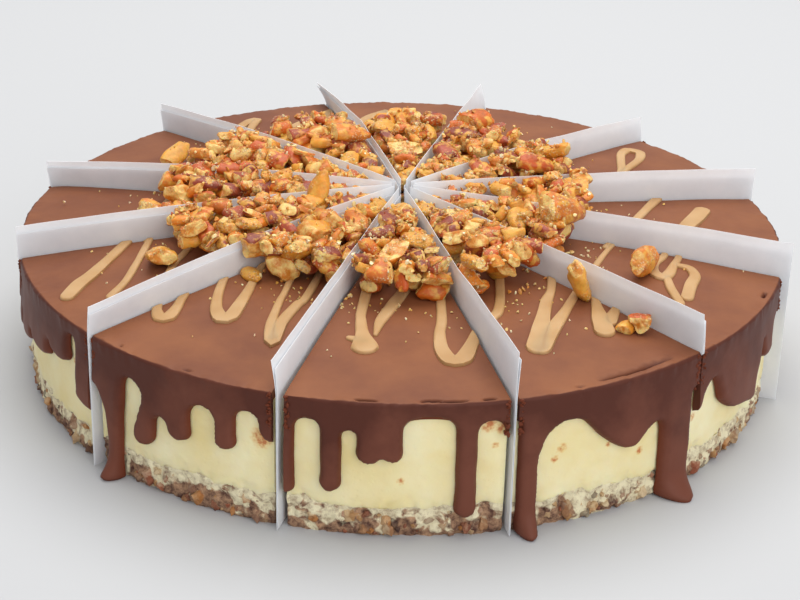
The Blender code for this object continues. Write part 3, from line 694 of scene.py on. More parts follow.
def even_line(points, step):
    """The same line with points at an even step along it, a little softened."""
    lengths = np.concatenate([[0.0], np.cumsum(np.linalg.norm(np.diff(points, axis=0), axis=1))])
    places = np.linspace(0.0, lengths[-1], max(2, round(lengths[-1] / step)) + 1)
    even = np.stack([np.interp(places, lengths, points[:, axis]) for axis in (0, 1)], axis=1)
    for turn in range(3):
        even[1:-1] = 0.25 * even[:-2] + 0.5 * even[1:-1] + 0.25 * even[2:]
    return even


def triangulate(border, spacing, seed, keep_away, rows=()):
    """Triangles that fill a flat outline, fine along it and evenly spaced inside.

    Rows of points, where given, take the place of the even ones beside them."""
    rng = np.random.default_rng(seed)
    low, high = border.min(0), border.max(0)
    xs, ys = np.meshgrid(np.arange(low[0], high[0], spacing), np.arange(low[1], high[1], spacing * 0.866))
    xs[1::2] += spacing / 2.0
    inside = np.stack([xs.ravel(), ys.ravel()], axis=1) + rng.uniform(-0.12, 0.12, (xs.size, 2)) * spacing
    inside = inside[in_outline(inside, border)]
    inside = inside[distance_to_line(inside, np.vstack([border, border[:1]])) > keep_away]
    if len(rows):
        rows = np.array(rows)
        rows = rows[in_outline(rows, border)]
        rows = rows[distance_to_line(rows, np.vstack([border, border[:1]])) > 0.00025]
        apart = [np.min(np.linalg.norm(rows - point, axis=1)) for point in inside]
        inside = np.vstack([inside[np.array(apart) > 0.00055], rows])
    scale = 1000.0
    points = [Vector(point) for point in np.vstack([border, inside]) * scale]
    loop = list(range(len(border)))
    verts, _, faces = delaunay_2d_cdt(points, [], [loop], 1, 1e-5, True)[:3]
    flat = np.array([tuple(vert) for vert in verts]) / scale
    centres = np.array([flat[face].mean(0) for face in faces])
    return flat, [face for face, keep in zip(faces, in_outline(centres, border)) if keep]


def in_outline(points, border):
    """True for the points inside a closed outline."""
    inside = np.zeros(len(points), bool)
    after = np.roll(border, -1, axis=0)
    for (x0, y0), (x1, y1) in zip(border, after):
        if y0 == y1:
            continue
        crosses = (points[:, 1] > min(y0, y1)) & (points[:, 1] <= max(y0, y1))
        at = x0 + (points[:, 1] - y0) / (y1 - y0) * (x1 - x0)
        inside ^= crosses & (points[:, 0] < at)
    return inside


def distance_to_line(points, line):
    """Each point's distance to a line of many points."""
    nearest = np.full(len(points), np.inf)
    for start, end in zip(line, line[1:]):
        along = end - start
        share = np.clip(((points - start) @ along) / max(along @ along, 1e-18), 0.0, 1.0)
        nearest = np.minimum(nearest, np.linalg.norm(points - start - share[:, None] * along, axis=1))
    return nearest


def side_point(number, length, along, down, thickness, spread):
    """The outer and inner place of a point of the band: its distance along the rim and its
    distance down from the rim round the shoulder."""
    share = along / length
    bend = down / SHOULDER
    centre_height = surface_height(BAND_RADIUS - SHOULDER) - SHOULDER
    if bend < math.pi / 2:
        outer_radius = BAND_RADIUS - SHOULDER + SHOULDER * math.sin(bend)
        outer_height = centre_height + SHOULDER * math.cos(bend)
    else:
        outer_radius = INNER_RADIUS + thickness
        outer_height = centre_height - (down - SHOULDER * math.pi / 2)
    outer_radius += spread
    corner = 0.0060
    if down < corner:
        at_corner = centre_height - (corner - SHOULDER * math.pi / 2)
        inner_height = UNDER_CORNER + (at_corner - UNDER_CORNER) * down / corner
    else:
        inner_height = outer_height
    outer = polar(outer_radius, slice_angle(number, outer_radius, share), max(outer_height, 0.0))
    inner = polar(INNER_RADIUS, slice_angle(number, INNER_RADIUS, share), max(inner_height, 0.0))
    return outer, inner


def rim_ripple(angle, below=0.0):
    """The rim isn't quite round or level; the fine waves die out below it."""
    place = polar(3.0, angle, 0.0)
    fine = 0.00055 * noise.noise(place * 7.0) + 0.00042 * noise.noise(place * 22.0)
    return 0.00040 * noise.noise(place * 2.0) + fine * max(0.0, 1.0 - below / 0.0045)


def chip_depth(angle, inset):
    """How deep a slit is at a place this far in from the rim."""
    depth = 0.0
    for start, end, middle, deepest in CHIPS:
        turn = (angle - (start + end) / 2.0 + 180.0) % 360.0 - 180.0
        along = 1.0 - (2.0 * turn / (end - start)) ** 2
        across = 1.0 - abs(inset - middle - 0.0003 * noise.noise(polar(9.0, angle, 0.0))) / 0.0007
        if along > 0.0 and across > 0.0:
            depth = max(depth, deepest * math.sqrt(along) * across * min(1.0, inset / 0.0003))
    return depth


def side_skin(bm, layers, number, length, edge, rim_count):
    """The band of ganache on a slice's side, from the border of the top to its lower edge."""
    top_layer, run_edge_and_slit_layer = layers
    turn_down = surface_height(BAND_RADIUS - SHOULDER) - SHOULDER + SHOULDER * math.pi / 2
    lower = np.stack([edge[:, 0], turn_down - edge[:, 1]], axis=1)      # distance down from the rim
    bulge = SIDE_BULGE * np.sin(np.linspace(0.0, math.pi, rim_count + 1))
    rim = [(length * place / rim_count, -bulge[place]) for place in range(rim_count, -1, -1)]
    sides = []
    for along, depth, way in ((length, lower[-1, 1], 1.0), (0.0, lower[0, 1], -1.0)):
        steps = max(3, round(depth / BORDER_STEP))
        sides.append([(along + way * SIDE_BULGE * math.sin(math.pi * step / steps), depth * step / steps)
                      for step in range(1, steps)])
    right_edge, left = sides[0][::-1], sides[1]
    border = np.array([*map(tuple, lower), *right_edge, *rim, *left])
    rows = [(length * place / rim_count, down) for down in SHOULDER_ROWS for place in range(1, rim_count)]
    flat, faces = triangulate(border, SIDE_SPACING, number, 0.00038, rows)
    inward = distance_to_line(flat, lower)
    runs = [run for run in slice_runs(number) if run[3]]
    outer_verts, inner_verts = [], []
    for (along, down), reach in zip(flat, inward):
        along, down = min(max(along, 0.0), length), max(down, 0.0)
        height = turn_down - down
        share = min(reach / EDGE_ROUND, 1.0)
        low = min(1.0, max(0.0, (ARCH_HEIGHT - height) / 0.010))
        full = BAND_RADIUS - INNER_RADIUS + RUN_BULGE * low
        uneven = 0.00022 * noise.noise(Vector((along * 160, height * 110, number)))
        thickness = EDGE_THICKNESS + (full + uneven) * math.sqrt(max(0.0, 1.0 - (1.0 - share) ** 2))
        spread = 0.0
        angle = slice_angle(number, RIM_RADIUS, along / length)
        for start, end, tip, foot, arch in runs:
            if start - 0.5 < angle < end + 0.5 and height < PUDDLE_HEIGHT:
                across = 1.0 - min(1.0, abs(angle - (start + end) / 2) / (0.5 * (end - start))) ** 2
                spread = max(spread, foot * across * (1.0 - max(height, 0.0) / PUDDLE_HEIGHT) ** 2.2)
        shoulder_share = min(1.0, down / (SHOULDER * math.pi / 2))
        outer, inner = side_point(number, length, along, down, thickness, spread)
        ripple = rim_ripple(angle, down) * min(1.0, reach / 0.0012)
        outer += Vector((outer.x, outer.y, 0.0)).normalized() * ripple * shoulder_share
        outer.z += 0.8 * ripple * (1.0 - shoulder_share)
        outer_verts.append(bm.verts.new(outer))
        inner_verts.append(bm.verts.new(inner))
        for vert in (outer_verts[-1], inner_verts[-1]):
            vert[top_layer] = 1.0 - shoulder_share
            vert[run_edge_and_slit_layer] = 1.0 - min(1.0, reach / 0.0007)
    close_skin(bm, faces, outer_verts, inner_verts, [down < 1e-7 for along, down in flat])


def top_skin(bm, layers, number, rim_count):
    """The sheet of ganache over a slice, with the slits behind its rim."""
    top_layer, run_edge_and_slit_layer = layers
    rim_radius = BAND_RADIUS - SHOULDER
    top_border = [polar(rim_radius, slice_angle(number, rim_radius, place / rim_count), 0.0)
                  for place in range(rim_count + 1)]
    radii = np.linspace(rim_radius, POINT_RADIUS, 60)[1:]
    bulges = [math.degrees(TOP_BULGE * math.sin(math.pi * place / len(radii)) / radius)
              for place, radius in enumerate(radii, 1)]
    top_border += [polar(radius, slice_angle(number, radius, 1.0) + bulge, 0.0)
                   for radius, bulge in zip(radii, bulges)]
    top_border += [polar(radius, slice_angle(number, radius, 0.0) - bulge, 0.0)
                   for radius, bulge in zip(radii[::-1], bulges[::-1])]
    top_border = np.array([(point.x, point.y) for point in top_border])
    rows = []
    for inset in RIM_ROWS:
        row = [polar(rim_radius - inset, slice_angle(number, rim_radius - inset, place / rim_count), 0.0)
               for place in range(1, rim_count)]
        rows += [(point.x, point.y) for point in row]
    flat, faces = triangulate(top_border, TOP_SPACING, 50 + number, 0.0007, rows)
    outer_verts, inner_verts, on_rim = [], [], []
    for x, y in flat:
        radius = math.hypot(x, y)
        start, end = slice_angle(number, radius, 0.0), slice_angle(number, radius, 1.0)
        angle = math.degrees(math.atan2(y, x))
        angle += 360.0 * round(((start + end) / 2 - angle) / 360.0)
        share = min(1.0, max(0.0, (angle - start) / (end - start)))
        near_rim = max(0.0, 1.0 - (rim_radius - radius) / 0.004)
        wave = 0.00025 * noise.noise(Vector((x * 45, y * 45, 2.0))) * min(1.0, (rim_radius - radius) / 0.006)
        lift = wave + 0.8 * rim_ripple(slice_angle(number, RIM_RADIUS, share)) * near_rim ** 2
        lift -= chip_depth(slice_angle(number, RIM_RADIUS, share), rim_radius - radius)
        inner_radius = POINT_RADIUS + (INNER_RADIUS - POINT_RADIUS) * (
            (radius - POINT_RADIUS) / (rim_radius - POINT_RADIUS))
        under = surface_height(inner_radius) - GANACHE_TOP + LAYER_GAP
        outer_verts.append(bm.verts.new((x, y, surface_height(radius) + lift)))
        inner_verts.append(bm.verts.new(polar(inner_radius, slice_angle(number, inner_radius, share), under)))
        outer_verts[-1][top_layer] = inner_verts[-1][top_layer] = 1.0
        # Painted shade: the slits are coloured dark as far as they are cut in.
        outer_verts[-1][run_edge_and_slit_layer] = min(1.0, 1600.0 * chip_depth(
            slice_angle(number, RIM_RADIUS, share), rim_radius - radius))
        on_rim.append(radius > rim_radius - 1e-6)
    close_skin(bm, faces, outer_verts, inner_verts, on_rim)


def ganache_mesh(number):
    """A slice's ganache as one closed skin, with where it is top, where it is edge and where its slits are
    painted with shade.
    """
    length, edge = lower_edge(number)
    rim_count = max(8, round(length / RIM_STEP))
    bm = bmesh.new()
    layers = [bm.verts.layers.float.new(name) for name in ("top", "edge")]
    side_skin(bm, layers, number, length, edge, rim_count)
    top_skin(bm, layers, number, rim_count)
    bmesh.ops.remove_doubles(bm, verts=bm.verts, dist=5e-6)
    bmesh.ops.delete(bm, geom=[vert for vert in bm.verts if not vert.link_faces], context="VERTS")
    return bm


def close_skin(bm, faces, outer_verts, inner_verts, on_seam):
    """Faces for both sides of a sheet, and walls along its border but not along its seam."""
    uses = {}
    for face in faces:
        bm.faces.new([outer_verts[place] for place in face])
        bm.faces.new([inner_verts[place] for place in reversed(face)])
        for start, end in zip(face, [*face[1:], face[0]]):
            uses.setdefault(frozenset((start, end)), []).append((start, end))
    for sides in uses.values():
        start, end = sides[0]
        if len(sides) == 1 and not (on_seam[start] and on_seam[end]):
            bm.faces.new((outer_verts[end], outer_verts[start], inner_verts[start], inner_verts[end]))


ganache_material, tree, shader = start_material("set_ganache", 0.5, Specular_IOR_Level=0.16)
place = add_node(tree, "ShaderNodeTexCoord").outputs["Object"]
on_top = add_node(tree, "ShaderNodeAttribute", attribute_name="top")
run_edge_and_slit_mask = add_node(tree, "ShaderNodeAttribute", attribute_name="edge")
cloudy = add_node(tree, "ShaderNodeTexNoise", {"Scale": 38.0, "Detail": 5.0, "Roughness": 0.6},
                  {"Vector": place})
# Painted light: the top's ramp is lighter than the side's, for the light and sheen that fall on the top of
# the same chocolate.
lit_top_tone = add_node(tree, "ShaderNodeValToRGB", links={"Fac": cloudy},
                    stops=((0.32, "#784731"), (0.68, "#8f5939")))
level = add_node(tree, "ShaderNodeSeparateXYZ", links={"Vector": place})
# The side is darker towards the rim and lighter towards the base.
by_height = add_node(tree, "ShaderNodeMath", {1: 14.0}, {0: level.outputs["Z"], 2: cloudy},
                   operation="MULTIPLY_ADD")
side_tone = add_node(tree, "ShaderNodeValToRGB", links={"Fac": by_height},
                     stops=((0.74, "#714132"), (1.0, "#552c21")))
over = add_node(tree, "ShaderNodeMapRange", {"From Min": 0.55, "From Max": 0.95},
                {"Value": on_top.outputs["Fac"]})
tone = add_node(tree, "ShaderNodeMix", links={"Factor": over, 6: side_tone, 7: lit_top_tone}, data_type="RGBA")
# The edges of the runs are a redder brown; on the top the same mask paints shade into the slits, darker
# still.
run_edge_and_slit_shade = add_node(tree, "ShaderNodeMix", {6: linear("#6c3420"), 7: linear("#4a1f14")}, {"Factor": over},
               data_type="RGBA")
edge_tone = add_node(tree, "ShaderNodeMix", links={
    "Factor": run_edge_and_slit_mask.outputs["Fac"], 6: tone.outputs[2], 7: run_edge_and_slit_shade.outputs[2]}, data_type="RGBA")
tree.links.new(edge_tone.outputs[2], shader.inputs["Base Color"])
fine = add_node(tree, "ShaderNodeTexNoise", {"Scale": 200.0, "Detail": 5.0}, {"Vector": place})
skin = add_node(tree, "ShaderNodeBump", {"Strength": 0.20, "Distance": 0.0005}, {"Height": fine})
tree.links.new(skin.outputs["Normal"], shader.inputs["Normal"])

CUT_CRUMBS = 22                  # that the knife left by each end of a slice
CUT_CRUMB_SIZES = (0.0005, 0.0014)
CUT_CRUMB_FLOOR = 0.0300         # none lie lower
for number in SLICES:
    bm = ganache_mesh(number)
    bmesh.ops.recalc_face_normals(bm, faces=bm.faces)
    sheet = mesh_of(bm, "ganache")
    rng = random.Random(700 + number)
    spots = []
    for index in range(2 * CUT_CRUMBS):
        from_end = 0.006 + 0.02 * rng.random() ** 2
        angle = slice_angle(number, BAND_RADIUS, from_end if index % 2 else 1.0 - from_end)
        height = rng.uniform(CUT_CRUMB_FLOOR, RIM_HEIGHT - 0.0002)
        size = rng.uniform(*CUT_CRUMB_SIZES)
        spots.append((polar(BAND_RADIUS + 0.0001, angle, height), rng.randrange(CRUMB_SHAPES),
                      [rng.uniform(0, math.tau) for axis in range(3)], size, (1.0, 1.0, 1.0, 1.0)))
    crumbs = scattered_mesh(crumb_tree, spots, crumb_shapes, ganache_material)
    mark(crumbs, "edge", np.ones(len(crumbs.vertices)))
    mesh = join_meshes((sheet, crumbs), 60)
    new_piece(f"ganache_slice_{number:02d}", mesh, ganache_material, "ganache", f"ganache_{number:02d}")


# The caramel: poured back and forth over the set ganache before the pecans and the knife, so
# each stroke is thick where it turns and is cut through wherever a slice ends.
CARAMEL_HEIGHT = 0.0007
CARAMEL_ROUND = 0.0010           # a strand is level above this much of its own height
CARAMEL_DOME = 0.10              # of its own height that shows above that
CARAMEL_SINK = 0.0004
STROKES = (              # points on the top: x, y and half width, in millimetres
    ((-92, -57, 2.3), (-90, -50, 2.3), (-87, -43, 2.0), (-81, -24, 1.6), (-66, 30, 1.4), (-57, 76, 1.5),
     (-53, 87, 2.0), (-51, 88, 2.0), (-52, 80, 1.5), (-57, 20, 1.2), (-61, -24, 1.1), (-65, -39, 1.2),
     (-66, -58, 1.3), (-66.2, -66, 1.5), (-64.8, -71, 2.0), (-62.4, -70.8, 2.1), (-60.8, -65, 1.6),
     (-59.5, -57, 1.3), (-52, -20, 1.3), (-38, 40, 1.4), (-40, 74, 1.5), (-29, 93, 2.0), (-24.5, 99, 2.6),
     (-25, 96, 2.2), (-33, 60, 1.5), (-45, -20, 1.2), (-49, -44, 1.2), (-50.2, -56, 1.4), (-50, -66, 1.8),
     (-48, -72, 2.3), (-45.6, -71, 2.3), (-43.8, -64, 1.9), (-42, -55, 1.5), (-40.5, -46, 1.2),
     (-30, 10, 1.2), (-16, 82, 1.6), (-8, 97, 2.3), (-6.5, 98.5, 2.6), (-8, 92, 1.8), (-22, 20, 1.2),
     (-31, -50, 1.0), (-33, -62, 1.1), (-34.4, -75, 1.5), (-33.6, -84, 2.1), (-33.2, -84.5, 2.0),
     (-31.6, -74, 1.8), (-28, -64, 1.5), (-25, -56, 1.2), (-14, 0, 1.2), (6, 80, 1.6), (10, 89, 2.4),
     (9, 84, 1.8), (-4, 0, 1.2), (-10, -63, 1.5), (-10.4, -72, 1.5), (-9.8, -80, 2.0), (-9, -86.6, 3.7)),
    ((-13.2, -82.2, 0.9), (-11.0, -83.2, 1.5), (-9.6, -84.5, 2.0)),
    ((6, -36, 1.3), (1.2, -54, 1.7), (-2.2, -64, 1.9), (-5.2, -73, 1.5), (-6.3, -80, 0.7)),
    ((10, -20, 1.2), (11.4, -68, 1.4), (10.8, -78, 1.6), (11.2, -87, 2.0), (13.4, -92.8, 2.4),
     (16.8, -91.8, 2.5), (19.2, -84, 2.0), (21, -77, 1.6), (25, -69, 1.5), (27.6, -58, 1.4), (30, 10, 1.2),
     (44, 63, 1.6), (51, 72, 2.4), (50, 66, 1.7), (44, 0, 1.2), (42.6, -46, 1.3), (40.4, -58, 1.7),
     (38.6, -70, 2.3), (36.6, -84, 3.4)),
    ((53, -40, 1.1), (48, -55, 1.2), (44.6, -65, 1.6), (40.8, -75, 2.2), (37.4, -84.5, 3.0)),
    ((-74, -8, 1.0), (-74, -22, 1.1), (-76.8, -47, 1.2), (-80, -58, 1.4)),
    ((29, 60, 1.1), (29, 72, 1.4), (31, 82, 2.2)),
    ((54, -46, 1.2), (54.2, -58, 1.5), (54.6, -66, 2.5), (55.2, -73, 3.1)),
    ((64, -50, 1.0), (59.6, -60, 1.4), (57, -68, 2.2)),
    ((68, -6, 0.8), (61.5, -19.5, 0.8), (56.5, -32, 1.0), (54, -40, 1.1)),
    ((80, -10, 1.0), (77, -23, 1.1), (73.4, -29.5, 1.3), (72.6, -35.5, 1.7), (75, -38.4, 1.8),
     (77.2, -35, 1.7), (79, -29.5, 1.3), (81, -24, 1.1), (84, -10, 1.0)),
    ((80.4, -29.5, 1.2), (83.4, -31, 1.5), (84.4, -36, 1.8), (82.4, -42, 1.8), (80.4, -50, 2.0)),
    ((76, -38, 1.2), (76.4, -45, 1.4), (78, -54, 1.4)),
    ((60, -20, 1.0), (71, 2, 1.3), (76, 13, 1.5), (81, 24, 1.5), (84, 30, 1.7)),
    ((80, -14, 1.8), (86, -1, 2.4), (90, 7, 2.7), (93, 13.6, 2.7)),
    ((60, 24, 1.2), (70, 42, 1.4), (71.6, 54, 1.5), (72.4, 62, 1.6), (75, 67, 1.9), (79, 65, 1.9),
     (77.6, 57, 1.5), (71, 44, 1.3), (64, 30, 1.2)),
)

caramel_material, tree, shader = start_material(
    "milk_caramel", 0.5, Specular_IOR_Level=0.3, Subsurface_Weight=0.25, Subsurface_Scale=0.0015,
    Subsurface_Radius=(1.0, 0.7, 0.4))
by_place = {"Vector": add_node(tree, "ShaderNodeTexCoord").outputs["Object"]}
swirl = add_node(tree, "ShaderNodeTexNoise", {"Scale": 90.0, "Detail": 2.0}, by_place)
tone = add_node(tree, "ShaderNodeValToRGB", links={"Fac": swirl},
                stops=((0.30, "#b58c5b"), (0.65, "#c39d6f")))
tree.links.new(tone.outputs["Color"], shader.inputs["Base Color"])


def stroke_tree():
    """A Geometry Nodes tree that turns lines with half widths into round strands."""
    tree, given = new_tree("pour_strands", ("Lines", "Geometry"), ("Material", "Material"))
    width = add_node(tree, "GeometryNodeInputNamedAttribute", {"Name": "half_width"}, data_type="FLOAT")
    curve = add_node(tree, "GeometryNodeMeshToCurve", links={"Mesh": given.outputs["Lines"]})
    sized = add_node(tree, "GeometryNodeSetCurveRadius", links={"Curve": curve, "Radius": width})
    ring = add_node(tree, "GeometryNodeCurvePrimitiveCircle", {"Resolution": 14, "Radius": 1.0})
    radius = add_node(tree, "GeometryNodeInputRadius")
    strand = add_node(tree, "GeometryNodeCurveToMesh", {"Fill Caps": True}, {
        "Curve": sized, "Profile Curve": ring, "Scale": radius})
    return end_tree(tree, strand, given)


def smooth_line(points, step):
    """A smooth line through points, with rounded ends: the half width shrinks there."""
    fine = spline(np.array(points, float) / 1000.0, step)
    for end, after in ((0, 1), (-1, -2)):
        reach = fine[end][2]
        away = (fine[end] - fine[after])[:2]
        away /= np.linalg.norm(away)
        cap = [(*(fine[end][:2] + away * reach * math.sin(turn)), max(reach * math.cos(turn), reach * 0.06))
               for turn in np.linspace(0.2, 1.52, 6)]
        fine = np.vstack([cap[::-1], fine]) if end == 0 else np.vstack([fine, cap])
    return fine


lines = bpy.data.meshes.new("strokes")
points, pairs, widths = [], [], []
for stroke in STROKES:
    line = smooth_line(stroke, 0.0012)
    pairs += [(len(points) + index, len(points) + index + 1) for index in range(len(line) - 1)]
    for x, y, half_width in line:
        wobble = 1.0 + 0.10 * noise.noise(Vector((x * 130, y * 130, 4.0)))
        points.append((x, y, 0.0))
        widths.append(half_width * wobble)
lines.from_pydata(points, pairs, [])
mark(lines, "half_width", widths)
caramel_mesh = run_tree(stroke_tree(), lines, Material=caramel_material)


def cut_to_slice(bm, number):
    """Keeps what lies between a slice's two cut faces, and closes what the knife opened."""
    for cut, way in ((cut_face(number, 1.0), 1.0), (cut_face(number + 1, -1.0), -1.0)):
        turn = math.radians(cut)
        across = Vector((-math.sin(turn), math.cos(turn), 0.0)) * way
        found = bmesh.ops.bisect_plane(bm, geom=[*bm.verts, *bm.edges, *bm.faces], dist=1e-7,
                                       plane_co=across * HALF_CUT, plane_no=across, clear_inner=True)
        opened = [edge for edge in found["geom_cut"] if isinstance(edge, bmesh.types.BMEdge)]
        bmesh.ops.holes_fill(bm, edges=opened)
    bmesh.ops.triangulate(bm, faces=[face for face in bm.faces if len(face.verts) > 4])


for number in SLICES:
    bm = bmesh.new()
    bm.from_mesh(caramel_mesh)
    cut_to_slice(bm, number)
    for vert in bm.verts:
        radius = vert.co.xy.length
        rise = vert.co.z / CARAMEL_ROUND
        if rise > 0:
            height = CARAMEL_HEIGHT * math.sqrt(min(1.0, rise)) + CARAMEL_DOME * vert.co.z
        else:
            height = CARAMEL_SINK * max(rise, -1.0)
        vert.co.z = surface_height(radius) + height
    bmesh.ops.recalc_face_normals(bm, faces=bm.faces)
    mesh = mesh_of(bm, "caramel", 60)
    new_piece(f"caramel_slice_{number:02d}", mesh, caramel_material, None, f"ganache_{number:02d}")


# The papers: a strip of baking paper in each cut, folded along its bottom edge. Both leaves
# stand up past the top, a little apart, and lean or bend where nothing holds them.
PAPER_THICKNESS = 0.00012
PAPER_APART = 0.00014            # from the cut's middle to a leaf
PAPER_FEET = {3: 0.1112, 11: 0.1112}    # strips that end further in below the top
PAPER_INNER = 0.0034
PAPER_FOLD = 0.0012              # where the two leaves start, above the base
PAPER_ROUND = 0.0008             # how far the fold hangs below that
PAPER_CORNER = 0.095             # from here out the foot of a strip ends further in
PAPER_BEND_RADIUS = 0.060
PAPER_RISE = 0.0095
SECOND_LEAF_DROP = 0.0022
PAPER_ENDS = (           # how far out each strip ends, how high, how far it leans there
    (0.1150, 0.0096, -0.0012), (0.1150, 0.0138, 0.0003), (0.1150, 0.0120, -0.0013),
    (0.1168, 0.0105, 0.0010), (0.1150, 0.0104, -0.0006), (0.1150, 0.0080, 0.0012),
    (0.1150, 0.0085, 0.0020), (0.1150, 0.0080, 0.0038), (0.1150, 0.0095, 0.0010),
    (0.1150, 0.0086, 0.0020), (0.1150, 0.0100, 0.0010), (0.1150, 0.0087, 0.0010),
)

paper_material, tree, shader = start_material(
    "silicone_paper", 0.6, Specular_IOR_Level=0.2, Subsurface_Weight=0.4, Subsurface_Scale=0.001,
    Subsurface_Radius=(1.0, 1.0, 1.0))
by_place = {"Vector": add_node(tree, "ShaderNodeTexCoord").outputs["Object"]}
fibres = add_node(tree, "ShaderNodeTexNoise", {"Scale": 130.0, "Detail": 4.0, "Roughness": 0.6}, by_place)
tone = add_node(tree, "ShaderNodeValToRGB", links={"Fac": fibres},
                stops=((0.30, "#f0f3f8"), (0.70, "#f9fbff")))
tree.links.new(tone.outputs["Color"], shader.inputs["Base Color"])

for number in SLICES:
    cut = math.radians(cut_angle(number))
    along = Vector((math.cos(cut), math.sin(cut), 0.0))
    across = Vector((-math.sin(cut), math.cos(cut), 0.0))
    reach, end_rise, end_lean = PAPER_ENDS[number - 1]
    radii = np.concatenate([np.linspace(PAPER_INNER, 0.110, 60), np.linspace(0.1105, reach, 6)])
    bm = bmesh.new()
    rings = []
    for radius in radii:
        deck = surface_height(min(radius, RIM_RADIUS))
        free = max(0.0, (radius - PAPER_BEND_RADIUS) / (reach - PAPER_BEND_RADIUS))
        lean = end_lean * free ** 1.3
        rise = PAPER_RISE + (end_rise - PAPER_RISE) * free
        ripple = 0.00035 * noise.noise(Vector((radius * 60, number, 0.0))) * min(1.0, radius / 0.03)
        path = []
        for side, drop in ((-1, 0.0), (1, SECOND_LEAF_DROP)):
            leaf = []
            for height in (PAPER_FOLD, 0.012, 0.024, deck - 0.004, deck, deck + 0.002, deck + 0.004,
                           deck + 0.0065, deck + rise - drop):
                above = max(0.0, (height - deck) / rise)
                gape = 0.0004 * above * (1 if side > 0 else 0.2)
                leaf.append((side * (PAPER_APART + gape) + lean * above ** 1.3 + ripple * above, height))
            path += leaf[::-1] if side < 0 else leaf
        fold = [(PAPER_APART * math.sin(turn), PAPER_FOLD - PAPER_ROUND * math.cos(turn))
                for turn in (-0.8, 0.0, 0.8)]
        path = path[:len(leaf)] + fold + path[len(leaf):]
        ring = []
        for way in (1, -1):
            for index in range(len(path)) if way > 0 else range(len(path) - 1, -1, -1):
                before, after = path[max(index - 1, 0)], path[min(index + 1, len(path) - 1)]
                normal = Vector((after[1] - before[1], before[0] - after[0])).normalized()
                sideways = path[index][0] + way * normal[0] * PAPER_THICKNESS / 2
                height = path[index][1] + way * normal[1] * PAPER_THICKNESS / 2
                short = reach - PAPER_FEET.get(number, reach) if height < deck - 0.001 else 0.0
                out = radius - short * max(0.0, (radius - PAPER_CORNER) / (reach - PAPER_CORNER))
                ring.append(bm.verts.new(along * out + across * sideways + Vector((0, 0, height))))
        rings.append(ring)
    for first, second in zip(rings, rings[1:]):
        for corner in range(len(first)):
            after = (corner + 1) % len(first)
            bm.faces.new((first[corner], first[after], second[after], second[corner]))
    half = len(rings[0]) // 2
    for ring in (rings[0], rings[-1]):
        for corner in range(half - 1):
            bm.faces.new((ring[corner], ring[corner + 1], ring[-2 - corner], ring[-1 - corner]))
    bmesh.ops.recalc_face_normals(bm, faces=bm.faces)
    mesh = mesh_of(bm, "paper", 50)
    new_piece(f"paper_strip_{number:02d}", mesh, paper_material, "paper", f"paper_{number:02d}")


# The pecans: halves and pieces candied in sugar, heaped on the middle of the cake. The skins
# are amber and ridged lengthwise, the broken faces cream, and sugar and crumbs cling to both.
HEAP_REACH = (65, 64.5, 57, 58, 58, 62, 65, 69, 74, 71, 74, 61)    # of slices 1 to 12, in millimetres
HEAP_START = 0.0050
HEAP_TOP = 0.0132                # above the ganache
MIDDLE_TOP = 0.0070              # and that high at the very middle
CLEAR_OF_PAPER = 0.0045          # nearer to a paper than this the heap stays below its top
TOP_BY_PAPER = 0.0098
PAPER_ROOM = 0.0010              # from a cut's middle to the nearest piece
NUTS_PER_SLICE = 92
LARGE_SHARE = 0.34               # of them, which lie lowest
LARGE_SIZES = (0.0078, 0.0122)
SMALL_SIZES = (0.0042, 0.0064)
NUT_SHAPES = 24
HALVES = 6                       # the first shapes are nearly whole halves, for the large pieces
FINE_SHAPES = 14                 # the rest have fewer faces, for the small pieces
TRIES_PER_NUT = 12               # of which the lowest place is taken
NUT_SINK = 0.0012                # how far a piece is pressed into those below it
BIG_SINK = 0.0006
TOP_SINK = 0.0032
BIT_SHAPES = 5
SKIN_TINTS = (
    "#cb691c", "#d78026", "#bd551c", "#de9430", "#c86318", "#8c3a22", "#dc9c3c", "#d07622", "#a4482a")
BIT_TINTS = ("#f3e2b8", "#ecca80", "#f0d698", "#dc9244", "#e8c074", "#cc7c30", "#c4885a", "#b45c30")
LOOSE_BITS = 40                  # on the ganache round the heap
HEAP_BITS = 210
GROOVES = (              # round a half: where, how wide and how deep
    (1.15, 0.20, 0.16), (1.99, 0.20, 0.16), (4.71, 0.26, 0.30))
HEAP_CELL = 0.0007
HEAP_SPAN = 0.092


